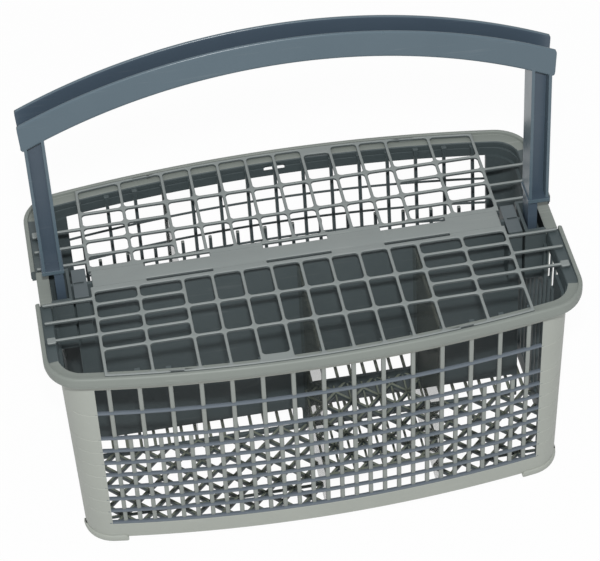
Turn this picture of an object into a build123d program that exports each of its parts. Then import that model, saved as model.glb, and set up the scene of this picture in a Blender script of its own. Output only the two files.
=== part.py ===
"""Dishwasher cutlery basket with a carrying handle and a two-flap grid cover.

Millimetres, +Z up. The origin is on the table, under the middle of the basket.
X runs along the basket, and the front long wall faces -Y.
"""
import os
from math import atan2, degrees, radians, sqrt, tan

from build123d import *

# Rim and wall
RIM_LENGTH = 240.0
RIM_DEPTH = 144.0
RIM_TOP = 118.0
RIM_HEIGHT = 5.6
RIM_CORNER = 18.0
RIM_LIP = 2.4
RIM_CHAMFER = 1.2
RIM_OVERHANG = 6.0
BOW_RADIUS = 627.0
WALL = 2.4
WALL_CORNER = 14.0
SIDE_DRAFT = 3.4
END_DRAFT = 1.0

# Wall lattice
GRID_PITCH = 13.4
BAND_HEIGHT = 14.0
RAIL_HEIGHT = 8.5
TALL_ROWS = 2
SHORT_ROWS = 7
LEDGE_HEIGHT = 1.4
BAR_WIDTH = 2.0
BAR_DEPTH = 2.0
BAR_TOP_BELOW_RIM = 9.0
BAR_ROOT = 3.0
BARS_PER_FACET = 3
END_SLOTS = 10
END_SLOT_PITCH = 6.7
END_SLOT_WIDTH = 4.5
END_TIERS = 1
END_RAIL = 4.0

# Floor, feet and inner walls
FOOT_HEIGHT = 2.5
FOOT_PROUD = 0.9
FOOT_LENGTH = 18.5
FOOT_OVERLAP = 1.2
FLOOR_LAYER = 1.2
FLOOR_RIB = 1.8
FLOOR_DIAMOND_X = 40.2
FLOOR_DIAMOND_Y = 40.2
RAISED_FLOOR_ROWS = 2
CENTRE_WALL = 1.8
DIVIDER = 1.6
DIVIDER_TOP_BELOW_RIM = 8.0
DIVIDER_PITCHES = 4
DRAIN_SLOT_HEIGHT = 12.0
DRAIN_SLOTS = 4
DRAIN_SLOT_RIB = 4.0
DRAIN_RAIL = 2.4

# Cover
COVER_THICKNESS = 1.6
COVER_SEAT_GAP = 0.3
COVER_EDGE_GAP = 0.5
SPINE_END_GAP = 2.2
SPINE_HALF_WIDTH = 5.2
SPINE_SKIRT = 1.2
SPINE_SKIRT_DEPTH = 3.0
SPINE_GRIP_GAP = 0.2
HINGE_GAP = 0.3
HINGE_SLOT = 0.5
HINGE_SLOT_MIDDLE = 29.5
HINGE_SLOT_SIDE = 30.0
HINGE_SLOT_SIDE_X = 54.2
FLAP_BAR = 1.3
FLAP_HINGE_BAR = 3.0
FLAP_OUTER_BAR = 2.2
FLAP_FIRST_ROW = 16.4
FLAP_ROW = 9.75
FLAP_ROWS = 4
FLAP_NARROW_COLUMNS = 8
FLAP_BLOCK_GAP = 1.0
FLAP_END_FIRST = 12.3
FLAP_END_ROW = 11.6
FLAP_END_ROWS = 3
FINGER_TAB_DEPTH = 4.6
FINGER_TAB_PITCHES = 1.5
END_PAD_LENGTH = 4.0
END_PAD_WIDTH = 4.0
LATCH_NOTCH_WIDTH = 5.7
LATCH_NOTCH_DEPTH = 1.0
LATCH_NOTCH_PITCHES = 4.75

# Handle sockets at the two ends
SOCKET_HALF_WIDTH = 10.7
SOCKET_DEPTH = 30.0
SOCKET_DROP = 0.8
SOCKET_WALL = 1.5
SOCKET_FLOOR = 2.0
SOCKET_WIDTH = 6.2
SOCKET_MARGIN = 0.3
NOTCH_DEPTH = 2.2
CLIP_BLOCK_LENGTH = 7.4
CLIP_BLOCK_HALF_WIDTH = 9.4
CLIP_BLOCK_DROP = 1.2
CLIP_SLIT_LENGTH = 4.5
CLIP_SLIT_WIDTH = 1.0
CLIP_SLIT_DEPTH = 8.0

# Handle
HANDLE_WIDTH = 11.9
HANDLE_SETBACK = 3.7
HANDLE_RISE = 122.5
HANDLE_ARCH_RADIUS = 270.0
HANDLE_BAR_HEIGHT = 12.2
HANDLE_SHEET = 1.5
HANDLE_FLOOR = 2.4
ARM_SETBACK = 5.5
ARM_WIDTH = 9.0
ARM_FLANGE = 1.4
ARM_WEB = 2.0
ARM_FOOT_LIFT = 7.5
ARM_FOOT_HEIGHT = 3.0
ARM_FOOT_FLARE = 0.8
TONGUE_THICKNESS = 4.2
TONGUE_WIDTH = 10.0
BARB_HEIGHT = 9.0
BARB_CHAMFER = 1.2
FIT_GAP = 0.25

# Heights and places that follow from the sizes above
REACH = RIM_LENGTH + RIM_DEPTH
COVER_BOTTOM = RIM_TOP - COVER_THICKNESS
SEAT_TOP = COVER_BOTTOM - COVER_SEAT_GAP
LATTICE_TOP = RIM_TOP - BAND_HEIGHT
LATTICE_BOTTOM = FOOT_HEIGHT + RAIL_HEIGHT
ROW_UNIT = (LATTICE_TOP - LATTICE_BOTTOM) / (2 * TALL_ROWS + SHORT_ROWS)
BAR_TOP = RIM_TOP - BAR_TOP_BELOW_RIM
BAR_BOTTOM = LATTICE_BOTTOM - BAR_ROOT
FLOOR_TOP = FOOT_HEIGHT + 2 * FLOOR_LAYER
RAISED_TOP = LATTICE_BOTTOM + RAISED_FLOOR_ROWS * ROW_UNIT + LEDGE_HEIGHT
RAISED_BOTTOM = RAISED_TOP - 2 * FLOOR_LAYER
PANEL_HALF = RIM_LENGTH / 2 - RIM_OVERHANG - WALL_CORNER
BAR_STEPS = int((PANEL_HALF - BAR_WIDTH) / GRID_PITCH)
DIVIDER_X = DIVIDER_PITCHES * GRID_PITCH
END_LEAN = SOCKET_DEPTH * tan(radians(END_DRAFT))
SOCKET_OUTER = RIM_LENGTH / 2 - RIM_OVERHANG - WALL - END_LEAN - SOCKET_MARGIN
SOCKET_INNER = SOCKET_OUTER - SOCKET_WIDTH
SOCKET_BACK = SOCKET_INNER - SOCKET_WALL
SOCKET_BOTTOM = RIM_TOP - SOCKET_DEPTH
CLIP_START = SOCKET_BACK - CLIP_BLOCK_LENGTH
SPINE_HALF_LENGTH = CLIP_START - SPINE_END_GAP
FLAP_EDGE = CLIP_START - FLAP_BLOCK_GAP
SOCKET_SEAT = SOCKET_BOTTOM + SOCKET_FLOOR
ARM_OUTER = RIM_LENGTH / 2 - ARM_SETBACK
ARM_INNER = ARM_OUTER - ARM_WIDTH
ARM_BOTTOM = RIM_TOP + ARM_FOOT_LIFT
HANDLE_TOP = RIM_TOP + HANDLE_RISE
HANDLE_LENGTH = RIM_LENGTH - 2 * HANDLE_SETBACK
FLAP_HINGE_Y = -SPINE_HALF_WIDTH - HINGE_GAP
ENDS = (-1, 1)


def placed_box(low, high):
    """A box between two opposite corners."""
    size = [b - a for a, b in zip(low, high)]
    middle = [(a + b) / 2 for a, b in zip(low, high)]
    return Pos(*middle) * Box(*size)


def end_box(end, low_x, high_x, half_width, low_z, high_z):
    """A box across the middle of one end, from one distance along X to another."""
    xs = sorted((end * low_x, end * high_x))
    return placed_box((xs[0], -half_width, low_z), (xs[1], half_width, high_z))


def bowed_face(inset, half_length):
    """A plan face with straight ends and the rim's bowed long sides, moved inwards."""
    bow = BOW_RADIUS - inset
    axis_y = bow - (RIM_DEPTH / 2 - inset)
    face = Rectangle(2 * half_length, RIM_DEPTH)
    face &= Pos(0, axis_y) * Circle(bow)
    face &= Pos(0, -axis_y) * Circle(bow)
    return face


def rim_outline(inset):
    """The rim's rounded plan outline, moved inwards."""
    face = bowed_face(inset, RIM_LENGTH / 2 - inset)
    return fillet(face.vertices(), RIM_CORNER - inset)


def bow_points(inset):
    """Points on the bow of one long side, each at the outer edge of an upright bar."""
    bow = BOW_RADIUS - inset
    half_depth = RIM_DEPTH / 2 - inset
    steps = range(1, BAR_STEPS + 1, BARS_PER_FACET)
    right = [step * GRID_PITCH + BAR_WIDTH / 2 for step in steps]
    right.append(RIM_LENGTH / 2)
    places = [-x for x in reversed(right)] + right
    return [(x, half_depth - bow + sqrt(bow**2 - x**2)) for x in places]


def drafted_side(side, inset, low, high):
    """Everything inside one drafted long wall, which leans in towards its foot."""
    lean = tan(radians(SIDE_DRAFT))
    points = [(x, side * y) for x, y in bow_points(inset)]
    far = [(points[-1][0], -side * REACH), (points[0][0], -side * REACH)]
    face = make_face(Polyline(*points, *far, close=True))
    start = Pos(0, side * lean * (high - RIM_TOP), high)
    run = high - low
    return Solid.extrude((start * face).face(), Vector(0, -side * lean * run, -run))


def drafted_core(inset, corner, low, high):
    """What lies inside the drafted walls between two heights, with rounded corners."""
    half_length = RIM_LENGTH / 2 - inset
    run = tan(radians(END_DRAFT))
    half_low = half_length - (RIM_TOP - low) * run
    half_high = half_length - (RIM_TOP - high) * run
    profile = Polyline(
        (-half_low, low), (half_low, low), (half_high, high), (-half_high, high), close=True
    )
    core = extrude(Plane.XZ * make_face(profile), RIM_DEPTH, both=True)
    for side in ENDS:
        core &= drafted_side(side, inset, low, high)
    tall = (high - low) / 2
    reach = half_low - GRID_PITCH / 2
    upright = [
        edge
        for edge in core.edges()
        if abs((edge @ 1 - edge @ 0).Z) > tall and abs((edge @ 0.5).X) > reach
    ]
    return fillet(upright, corner)


def wall_core(depth, low, high):
    """The drafted core moved inwards from the wall's outer face by a depth."""
    return drafted_core(RIM_OVERHANG + depth, WALL_CORNER - depth, low, high)


def lattice_rows():
    """Bottom and top of each window row between the ledges, from the top down."""
    heights = [2 * ROW_UNIT] * TALL_ROWS + [ROW_UNIT] * SHORT_ROWS
    rows = []
    top = LATTICE_TOP
    for height in heights:
        rows.append((top - height + LEDGE_HEIGHT, top))
        top -= height
    return rows


def bar_slabs():
    """Slabs across the basket, one for each pair of upright bars."""
    half = BAR_WIDTH / 2
    slabs = []
    for step in range(-BAR_STEPS, BAR_STEPS + 1):
        x = step * GRID_PITCH
        slabs.append(placed_box((x - half, -REACH, BAR_BOTTOM), (x + half, REACH, BAR_TOP)))
    return slabs


def long_wall_windows():
    """The window rows of both long walls."""
    return [
        placed_box((-PANEL_HALF, -REACH, low), (PANEL_HALF, REACH, high))
        for low, high in lattice_rows()
    ]


def end_wall_windows():
    """Tiers of upright slots through both ends, shorter below the handle sockets."""
    windows = []
    tier = (LATTICE_TOP - LATTICE_BOTTOM + END_RAIL) / END_TIERS
    half = END_SLOT_WIDTH / 2
    for slot in range(END_SLOTS):
        y = (slot - (END_SLOTS - 1) / 2) * END_SLOT_PITCH
        ceiling = LATTICE_TOP
        if abs(y) < SOCKET_HALF_WIDTH + half:
            ceiling = SOCKET_BOTTOM - END_RAIL
        for index in range(END_TIERS):
            low = LATTICE_BOTTOM + index * tier
            high = min(low + tier - END_RAIL, ceiling)
            windows.append(placed_box((-REACH, y - half, low), (REACH, y + half, high)))
    return windows


def floor_ribs(bottom):
    """Two crossing layers of slanted ribs that leave diamond openings."""
    angle = degrees(atan2(FLOOR_DIAMOND_Y, FLOOR_DIAMOND_X))
    span = RIM_LENGTH + RIM_DEPTH * FLOOR_DIAMOND_X / FLOOR_DIAMOND_Y
    count = int(span / FLOOR_DIAMOND_X / 2)
    ribs = []
    for layer, lean in enumerate((angle, -angle)):
        z = bottom + (layer + 0.5) * FLOOR_LAYER
        for step in range(-count, count + 1):
            bar = Box(REACH, FLOOR_RIB, FLOOR_LAYER)
            ribs.append(Pos(step * FLOOR_DIAMOND_X, 0, z) * Rot(0, 0, lean) * bar)
    return ribs


def floors(ring):
    """The diamond floor, and the higher floor of the compartment between the front dividers."""
    middle = placed_box((0, -REACH, 0), (DIVIDER_X, 0, RIM_TOP))
    low_room = wall_core(WALL / 2, FOOT_HEIGHT, FLOOR_TOP) - middle
    high_room = wall_core(WALL + BAR_DEPTH / 2, RAISED_BOTTOM, RAISED_TOP) & middle
    ribs = [low_room & rib for rib in floor_ribs(FOOT_HEIGHT)]
    ribs += [high_room & rib for rib in floor_ribs(RAISED_BOTTOM)]
    band = placed_box((0, -REACH, RAISED_BOTTOM), (DIVIDER_X, 0, RAISED_TOP))
    ribs.append(ring & band)
    return [solid for rib in ribs if rib for solid in rib.solids()]


def centre_wall():
    """The wall under the spine, with drain slots above the low floor and the raised floor."""
    half = CENTRE_WALL / 2
    wall = placed_box((-SOCKET_BACK, -half, FOOT_HEIGHT), (SOCKET_BACK, half, COVER_BOTTOM))
    low = RAISED_TOP + DRAIN_RAIL
    slots = [
        placed_box(
            (DRAIN_SLOT_RIB / 2, -WALL, low),
            (DIVIDER_X - DRAIN_SLOT_RIB / 2, WALL, low + DRAIN_SLOT_HEIGHT),
        )
    ]
    run = 2 * SOCKET_BACK / DRAIN_SLOTS
    for step in range(DRAIN_SLOTS):
        x = step * run - SOCKET_BACK
        slots.append(
            placed_box(
                (x + DRAIN_SLOT_RIB / 2, -WALL, FLOOR_TOP),
                (x + run - DRAIN_SLOT_RIB / 2, WALL, FLOOR_TOP + DRAIN_SLOT_HEIGHT),
            )
        )
    return wall - slots


def dividers():
    """Cross walls from the centre wall to the long walls, two in front and one behind."""
    top = RIM_TOP - DIVIDER_TOP_BELOW_RIM
    half = DIVIDER / 2
    room = wall_core(WALL / 2, FOOT_HEIGHT, top)
    walls = []
    for x, side in ((0, -1), (DIVIDER_X, -1), (-DIVIDER_X, 1)):
        ys = sorted((0, side * RIM_DEPTH))
        walls.append(room & placed_box((x - half, ys[0], FOOT_HEIGHT), (x + half, ys[1], top)))
    return walls


def handle_socket(end):
    """The pocket that takes the handle's tongue, and the clip block beside it."""
    top = RIM_TOP - SOCKET_DROP
    wall_x = RIM_LENGTH / 2 - RIM_OVERHANG - WALL / 2
    inside = SOCKET_HALF_WIDTH - SOCKET_WALL
    socket = end_box(end, SOCKET_BACK, wall_x, SOCKET_HALF_WIDTH, SOCKET_BOTTOM, top)
    socket += end_box(end, wall_x, RIM_LENGTH / 2 - NOTCH_DEPTH, SOCKET_HALF_WIDTH, SEAT_TOP, top)
    socket -= end_box(end, SOCKET_INNER, SOCKET_OUTER, inside, SOCKET_SEAT, RIM_TOP)
    block_top = RIM_TOP - CLIP_BLOCK_DROP
    block = end_box(
        end, CLIP_START, SOCKET_BACK, CLIP_BLOCK_HALF_WIDTH, SOCKET_BOTTOM, block_top
    )
    slit_start = CLIP_START + (CLIP_BLOCK_LENGTH - CLIP_SLIT_LENGTH) / 2
    block -= end_box(
        end,
        slit_start,
        slit_start + CLIP_SLIT_LENGTH,
        CLIP_SLIT_WIDTH / 2,
        block_top - CLIP_SLIT_DEPTH,
        RIM_TOP,
    )
    return socket + block


def feet():
    """Four feet that wrap the bottom corners and stand slightly proud."""
    top = FOOT_HEIGHT + FOOT_OVERLAP
    ring = wall_core(-FOOT_PROUD, 0, top) - wall_core(WALL, 0, top)
    box = ring.bounding_box()
    x = box.max.X - FOOT_LENGTH
    y = box.max.Y - FOOT_LENGTH
    corners = []
    for side_x in ENDS:
        for side_y in ENDS:
            middle = Pos(side_x * (x + REACH / 2), side_y * (y + REACH / 2))
            corners.append(ring & (middle * Box(REACH, REACH, REACH)))
    return corners


def make_basket():
    """The basket moulding: rim, walls, lattice, floor, inner walls, sockets and feet."""
    rim = Pos(0, 0, RIM_TOP - RIM_HEIGHT) * extrude(rim_outline(0), RIM_HEIGHT)
    rim = chamfer(rim.faces().sort_by(Axis.Z)[-1].edges(), RIM_CHAMFER)
    shell = rim + wall_core(0, FOOT_HEIGHT, RIM_TOP - RIM_HEIGHT / 2)
    shell -= Pos(0, 0, SEAT_TOP) * extrude(rim_outline(RIM_LIP), RIM_HEIGHT)
    shell -= wall_core(WALL, 0, RIM_TOP + RIM_HEIGHT)
    for end in ENDS:
        shell -= end_box(
            end, RIM_LENGTH / 2 - NOTCH_DEPTH, REACH, SOCKET_HALF_WIDTH, FOOT_HEIGHT, REACH
        )
    shell -= long_wall_windows() + end_wall_windows()
    ring = wall_core(WALL, FOOT_HEIGHT, BAR_TOP) - wall_core(WALL + BAR_DEPTH, 0, RIM_TOP)
    bars = [bar for slab in bar_slabs() for bar in (ring & slab).solids()]
    inner = [centre_wall()] + dividers() + [handle_socket(end) for end in ENDS]
    return shell.fuse(*bars, *floors(ring), *inner, *feet())


def flap_columns():
    """Places of the flap's long bars: narrow columns in the middle, two wide ones each side."""
    half = FLAP_NARROW_COLUMNS // 2
    narrow = [step * GRID_PITCH for step in range(-half, half + 1)]
    last = FLAP_EDGE - FLAP_BAR / 2
    between = (narrow[-1] + last) / 2
    return [-last, -between] + narrow + [between, last]


def hinge_slots():
    """Middle and length of each slot along the film hinge."""
    return [
        (0, HINGE_SLOT_MIDDLE),
        (-HINGE_SLOT_SIDE_X, HINGE_SLOT_SIDE),
        (HINGE_SLOT_SIDE_X, HINGE_SLOT_SIDE),
    ]


def flap_grid():
    """Plan of the front flap's bars: hinge bar, long bars, cross bars and outer bar."""
    columns = flap_columns()
    edge = FLAP_EDGE
    inner_edge = columns[-3] - FLAP_BAR / 2
    outer_inset = RIM_LIP + COVER_EDGE_GAP
    end_reach = RIM_LENGTH / 2 - outer_inset
    bars = [Pos(x, 0) * Rectangle(FLAP_BAR, RIM_DEPTH) for x in columns]
    bars.append(bowed_face(outer_inset, edge) - bowed_face(outer_inset + FLAP_OUTER_BAR, REACH))
    hinge = Rectangle(2 * edge, FLAP_HINGE_BAR, align=(Align.CENTER, Align.MAX))
    bars.append(Pos(0, FLAP_HINGE_Y) * hinge)
    for row in range(FLAP_ROWS):
        y = -(FLAP_FIRST_ROW + row * FLAP_ROW)
        if row % 2:
            bars.append(Pos(0, y) * Rectangle(2 * edge, FLAP_BAR))
        else:
            for end in ENDS:
                short = Rectangle(edge - inner_edge, FLAP_BAR)
                bars.append(Pos(end * (edge + inner_edge) / 2, y) * short)
    for row in range(FLAP_END_ROWS):
        y = -(FLAP_END_FIRST + row * FLAP_END_ROW)
        for end in ENDS:
            free = Rectangle(end_reach - columns[-1], FLAP_BAR)
            bars.append(Pos(end * (columns[-1] + end_reach) / 2, y) * free)
    pad_y = -(FLAP_END_FIRST + (FLAP_END_ROWS - 1) * FLAP_END_ROW)
    for end in ENDS:
        pad = Rectangle(END_PAD_LENGTH, END_PAD_WIDTH)
        bars.append(Pos(end * (end_reach - END_PAD_LENGTH / 2), pad_y) * pad)
    tab = bowed_face(outer_inset, edge) - bowed_face(outer_inset + FINGER_TAB_DEPTH, REACH)
    tab_cell = Rectangle(GRID_PITCH, REACH, align=(Align.CENTER, Align.MAX))
    bars.append(tab & (Pos(-FINGER_TAB_PITCHES * GRID_PITCH, 0) * tab_cell))
    room = bowed_face(outer_inset, end_reach)
    room &= Pos(0, FLAP_HINGE_Y) * Rectangle(REACH, REACH, align=(Align.CENTER, Align.MAX))
    grid = bars[0] + bars[1:]
    return grid & room


def make_front_flap():
    """The front grid flap with its hinge slots and latch notches."""
    flap = Pos(0, 0, COVER_BOTTOM) * extrude(flap_grid(), COVER_THICKNESS)
    for x, length in hinge_slots():
        slot = Box(length, 2 * HINGE_SLOT, REACH)
        flap -= Pos(x, FLAP_HINGE_Y, RIM_TOP) * slot
    notch_x = LATCH_NOTCH_PITCHES * GRID_PITCH
    cutter = bowed_face(0, REACH) - bowed_face(RIM_LIP + COVER_EDGE_GAP + LATCH_NOTCH_DEPTH, REACH)
    for end in ENDS:
        cell = Pos(end * notch_x, 0) * Rectangle(LATCH_NOTCH_WIDTH, REACH)
        flap -= Pos(0, 0, COVER_BOTTOM) * extrude(cutter & cell, 2 * COVER_THICKNESS)
    return flap


def make_cover_spine():
    """The strip between the flaps, with two skirts that grip the centre wall."""
    half = SPINE_HALF_LENGTH
    low = (-half, -SPINE_HALF_WIDTH, COVER_BOTTOM)
    spine = placed_box(low, (half, SPINE_HALF_WIDTH, RIM_TOP))
    for side in ENDS:
        for x, length in hinge_slots():
            slot = Box(length, 2 * HINGE_SLOT, REACH)
            spine -= Pos(x, side * SPINE_HALF_WIDTH, RIM_TOP) * slot
        inner = CENTRE_WALL / 2 + SPINE_GRIP_GAP
        ys = sorted((side * inner, side * (inner + SPINE_SKIRT)))
        low = (-half, ys[0], COVER_BOTTOM - SPINE_SKIRT_DEPTH)
        spine += placed_box(low, (half, ys[1], COVER_BOTTOM))
    return spine


def arch_band(depth_top, depth_bottom):
    """The side view of the handle's arch between two depths below its top edge."""
    middle = Pos(0, HANDLE_TOP - HANDLE_ARCH_RADIUS)
    band = middle * Circle(HANDLE_ARCH_RADIUS - depth_top)
    band -= middle * Circle(HANDLE_ARCH_RADIUS - depth_bottom)
    return band & (Pos(0, HANDLE_TOP) * Rectangle(HANDLE_LENGTH, HANDLE_ARCH_RADIUS))


def handle_arm(end):
    """One upright arm: two flanges on a web, a flared foot and a tongue with its barb."""
    half = HANDLE_WIDTH / 2
    flare = ARM_FOOT_FLARE
    inside = ARM_INNER + ARM_FLANGE
    outside = ARM_OUTER - ARM_FLANGE
    arm = end_box(end, ARM_INNER, inside, half, ARM_BOTTOM, HANDLE_TOP)
    arm += end_box(end, outside, ARM_OUTER, half, ARM_BOTTOM, HANDLE_TOP)
    arm += end_box(end, inside, outside, ARM_WEB / 2, ARM_BOTTOM, HANDLE_TOP)
    under = Pos(0, HANDLE_TOP - HANDLE_ARCH_RADIUS) * Circle(
        HANDLE_ARCH_RADIUS - HANDLE_BAR_HEIGHT + HANDLE_FLOOR / 2
    )
    arm &= extrude(Plane.XZ * under, HANDLE_WIDTH, both=True)
    foot_top = ARM_BOTTOM + ARM_FOOT_HEIGHT
    arm += end_box(
        end, ARM_INNER - flare, ARM_OUTER + flare, half + flare, ARM_BOTTOM, foot_top
    )
    middle = (SOCKET_INNER + SOCKET_OUTER) / 2
    start = middle - TONGUE_THICKNESS / 2
    arm += end_box(
        end, start, start + TONGUE_THICKNESS, TONGUE_WIDTH / 2, SOCKET_SEAT, ARM_BOTTOM
    )
    barb = end_box(
        end,
        SOCKET_INNER + FIT_GAP,
        SOCKET_OUTER - FIT_GAP,
        SOCKET_HALF_WIDTH - SOCKET_WALL - FIT_GAP,
        SOCKET_SEAT,
        SOCKET_SEAT + BARB_HEIGHT,
    )
    barb = chamfer(barb.faces().sort_by(Axis.Z)[-1].edges(), BARB_CHAMFER)
    return arm + barb


def make_handle():
    """The carrying handle: an arched channel, open upwards, on two arms."""
    half = HANDLE_WIDTH / 2
    band = Plane.XZ * arch_band(0, HANDLE_BAR_HEIGHT)
    handle = extrude(band, half, both=True)
    hollow = Plane.XZ * arch_band(-HANDLE_BAR_HEIGHT, HANDLE_BAR_HEIGHT - HANDLE_FLOOR)
    handle -= extrude(hollow, half - HANDLE_SHEET, both=True)
    for end in ENDS:
        handle += handle_arm(end)
    return handle


def main():
    """Build each piece and write it to its own file."""
    front_flap = make_front_flap()
    pieces = {
        "basket": make_basket(),
        "handle": make_handle(),
        "cover_spine": make_cover_spine(),
        "front_flap": front_flap,
        "rear_flap": Rot(0, 0, 180) * front_flap,
    }
    os.makedirs("parts", exist_ok=True)
    for name, piece in pieces.items():
        export_step(piece, f"parts/{name}.step")


if __name__ == "__main__":
    main()
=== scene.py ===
"""Dishwasher cutlery basket: the dressed model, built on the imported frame.

Sizes are in millimetres in the basket's own frame, and become metres when a mesh is finished.
X runs along the basket, the front long wall faces -Y and Z is up.
"""

import logging
from dataclasses import dataclass, field
from enum import Enum
from math import atan2, cos, hypot, pi, radians, sin, sqrt, tan

import bmesh
import bpy
from mathutils import Matrix, Vector


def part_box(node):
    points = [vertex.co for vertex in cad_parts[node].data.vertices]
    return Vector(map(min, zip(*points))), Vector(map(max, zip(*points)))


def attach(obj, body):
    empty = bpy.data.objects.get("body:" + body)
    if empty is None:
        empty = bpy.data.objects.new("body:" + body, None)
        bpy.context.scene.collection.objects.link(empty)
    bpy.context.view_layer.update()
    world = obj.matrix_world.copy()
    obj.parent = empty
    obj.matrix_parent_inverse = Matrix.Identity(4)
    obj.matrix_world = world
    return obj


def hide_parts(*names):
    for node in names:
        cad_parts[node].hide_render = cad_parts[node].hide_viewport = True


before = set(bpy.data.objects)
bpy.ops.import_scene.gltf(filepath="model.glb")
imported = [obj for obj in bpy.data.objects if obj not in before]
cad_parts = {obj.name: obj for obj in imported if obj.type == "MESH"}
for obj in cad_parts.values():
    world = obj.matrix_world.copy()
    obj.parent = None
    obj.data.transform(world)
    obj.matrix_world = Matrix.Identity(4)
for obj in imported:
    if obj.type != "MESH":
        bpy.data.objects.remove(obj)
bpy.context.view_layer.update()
LOG = logging.getLogger("cutlery_basket")
MM = 1000.0
ENDS = (-1, 1)

# Kinds of place: a corner has a radius, a line a point and a direction, and an edge two ends
Flat = tuple[float, float]
Point = tuple[float, float, float]
Corner = tuple[float, float, float]
Line = tuple[Flat, Flat]
Edge = tuple[Point, Point]
Ring = list[Point]


def node_box(node: str) -> tuple[Vector, Vector]:
    """Lowest and highest corner of a solid of the frame, in millimetres."""
    low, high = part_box(node)
    return low * MM, high * MM


# Shared sizes, from the frame where it has them
BASKET_HIGH = node_box("basket")[1]
HANDLE_HIGH = node_box("handle")[1]
SPINE_HIGH = node_box("cover_spine")[1]
FLAP_LOW, FLAP_HIGH = node_box("front_flap")
RIM_TOP = BASKET_HIGH.z
COVER_BOTTOM = FLAP_LOW.z
SEAT_GAP = 0.3
SEAT_TOP = COVER_BOTTOM - SEAT_GAP
GRID_PITCH = 13.4
FINE_PITCH = GRID_PITCH / 2
WALL = 2.4
FOOT_HEIGHT = 2.5
FLOOR_TOP = 4.9
RAISED_TOP = 29.3
DIVIDER_PITCHES = 4
DIVIDER_X = DIVIDER_PITCHES * GRID_PITCH
SOCKET_HALF = 10.7
SOCKET_DEPTH = 30.0

# Tolerances
NEAR = 0.1
MERGE = 0.001
SHORTEST = 0.5
PARALLEL = 1e-9
FAR = 1e6
LEVEL = 0.5

# Angles in degrees, and straight pieces in what is round
STRAIGHT = 88.0
SMOOTH = 35.0
SHARP = 40.0
EDGE_STEPS = 2
LEDGE_POINTS = 48


class Body(Enum):
    """Moving bodies of the frame."""

    BASKET = "basket"
    FRONT_FLAP = "front_flap"
    REAR_FLAP = "rear_flap"


class Slot(Enum):
    """Material slots of the record."""

    BASKET = "basket_plastic"
    COVER = "cover_plastic"
    HANDLE = "handle_plastic"


class Side(Enum):
    """The two long sides, by the sign of Y."""

    FRONT = -1
    REAR = 1


class Tone(Enum):
    """Colours of the three mouldings: their own colours, several colours of painted shade and one of
    painted light.
    """

    BODY = "basket_body"
    BAR = "basket_bar"
    RIM = "basket_rim"
    # painted shade: the same plastic, darkened where it looks into the basket
    INSIDE = "basket_inside_painted_shade"
    # painted shade: darkest, in the slits and deep in the sockets
    SHADED_DEEP = "basket_deep_painted_shade"
    # painted light: floor rib tops drawn lighter where they catch the light
    FLOOR = "basket_floor_painted_light"
    DIVIDER = "basket_divider"
    # painted shade: the ledges drawn darker than the plastic because they lie in shade
    SHADED_LEDGE = "basket_ledge_painted_shade"
    # painted shade: the clip blocks' tops, which sit low in shade
    CLIP = "basket_clip_painted_shade"
    COVER = "cover_grid"
    # painted shade: the cover's upright edges, darker than its tops
    EDGE = "cover_edge_painted_shade"
    HANDLE = "handle_outside"
    # painted shade: the handle's channel inside, webs and tongues
    SHADED_HOLLOW = "handle_hollow_painted_shade"


def linear(colour: tuple[int, int, int]) -> tuple[float, float, float, float]:
    """Turn a screen colour into the linear colour that shaders use.

    Args:
        colour: Red, green and blue from 0 to 255.

    Returns:
        Linear red, green and blue from 0 to 1, and full cover.
    """
    shares = [channel / 255 for channel in colour]
    values = [s / 12.92 if s <= 0.04045 else ((s + 0.055) / 1.055) ** 2.4 for s in shares]
    return (values[0], values[1], values[2], 1.0)


# Node trees


def feed(tree: bpy.types.NodeTree, node: bpy.types.Node, feeds: dict[str | int, object]) -> None:
    """Feed a node's inputs.

    Args:
        tree: The tree that the node is in.
        node: The node.
        feeds: For each input socket, the socket or the value that feeds it.
    """
    for label, value in feeds.items():
        if isinstance(value, bpy.types.NodeSocket):
            tree.links.new(value, node.inputs[label])
        else:
            node.inputs[label].default_value = value


def add_node(
    tree: bpy.types.NodeTree, kind: str, feeds: dict[str | int, object], **settings: object
) -> bpy.types.NodeOutputs:
    """Add a node to a tree.

    Args:
        tree: The tree.
        kind: The node's type.
        feeds: For each input socket, the socket or the value that feeds it.
        settings: The node's own properties.

    Returns:
        The node's outputs.
    """
    node = tree.nodes.new(kind)
    for label, value in settings.items():
        setattr(node, label, value)
    feed(tree, node, feeds)
    return node.outputs


# Finishes


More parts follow.
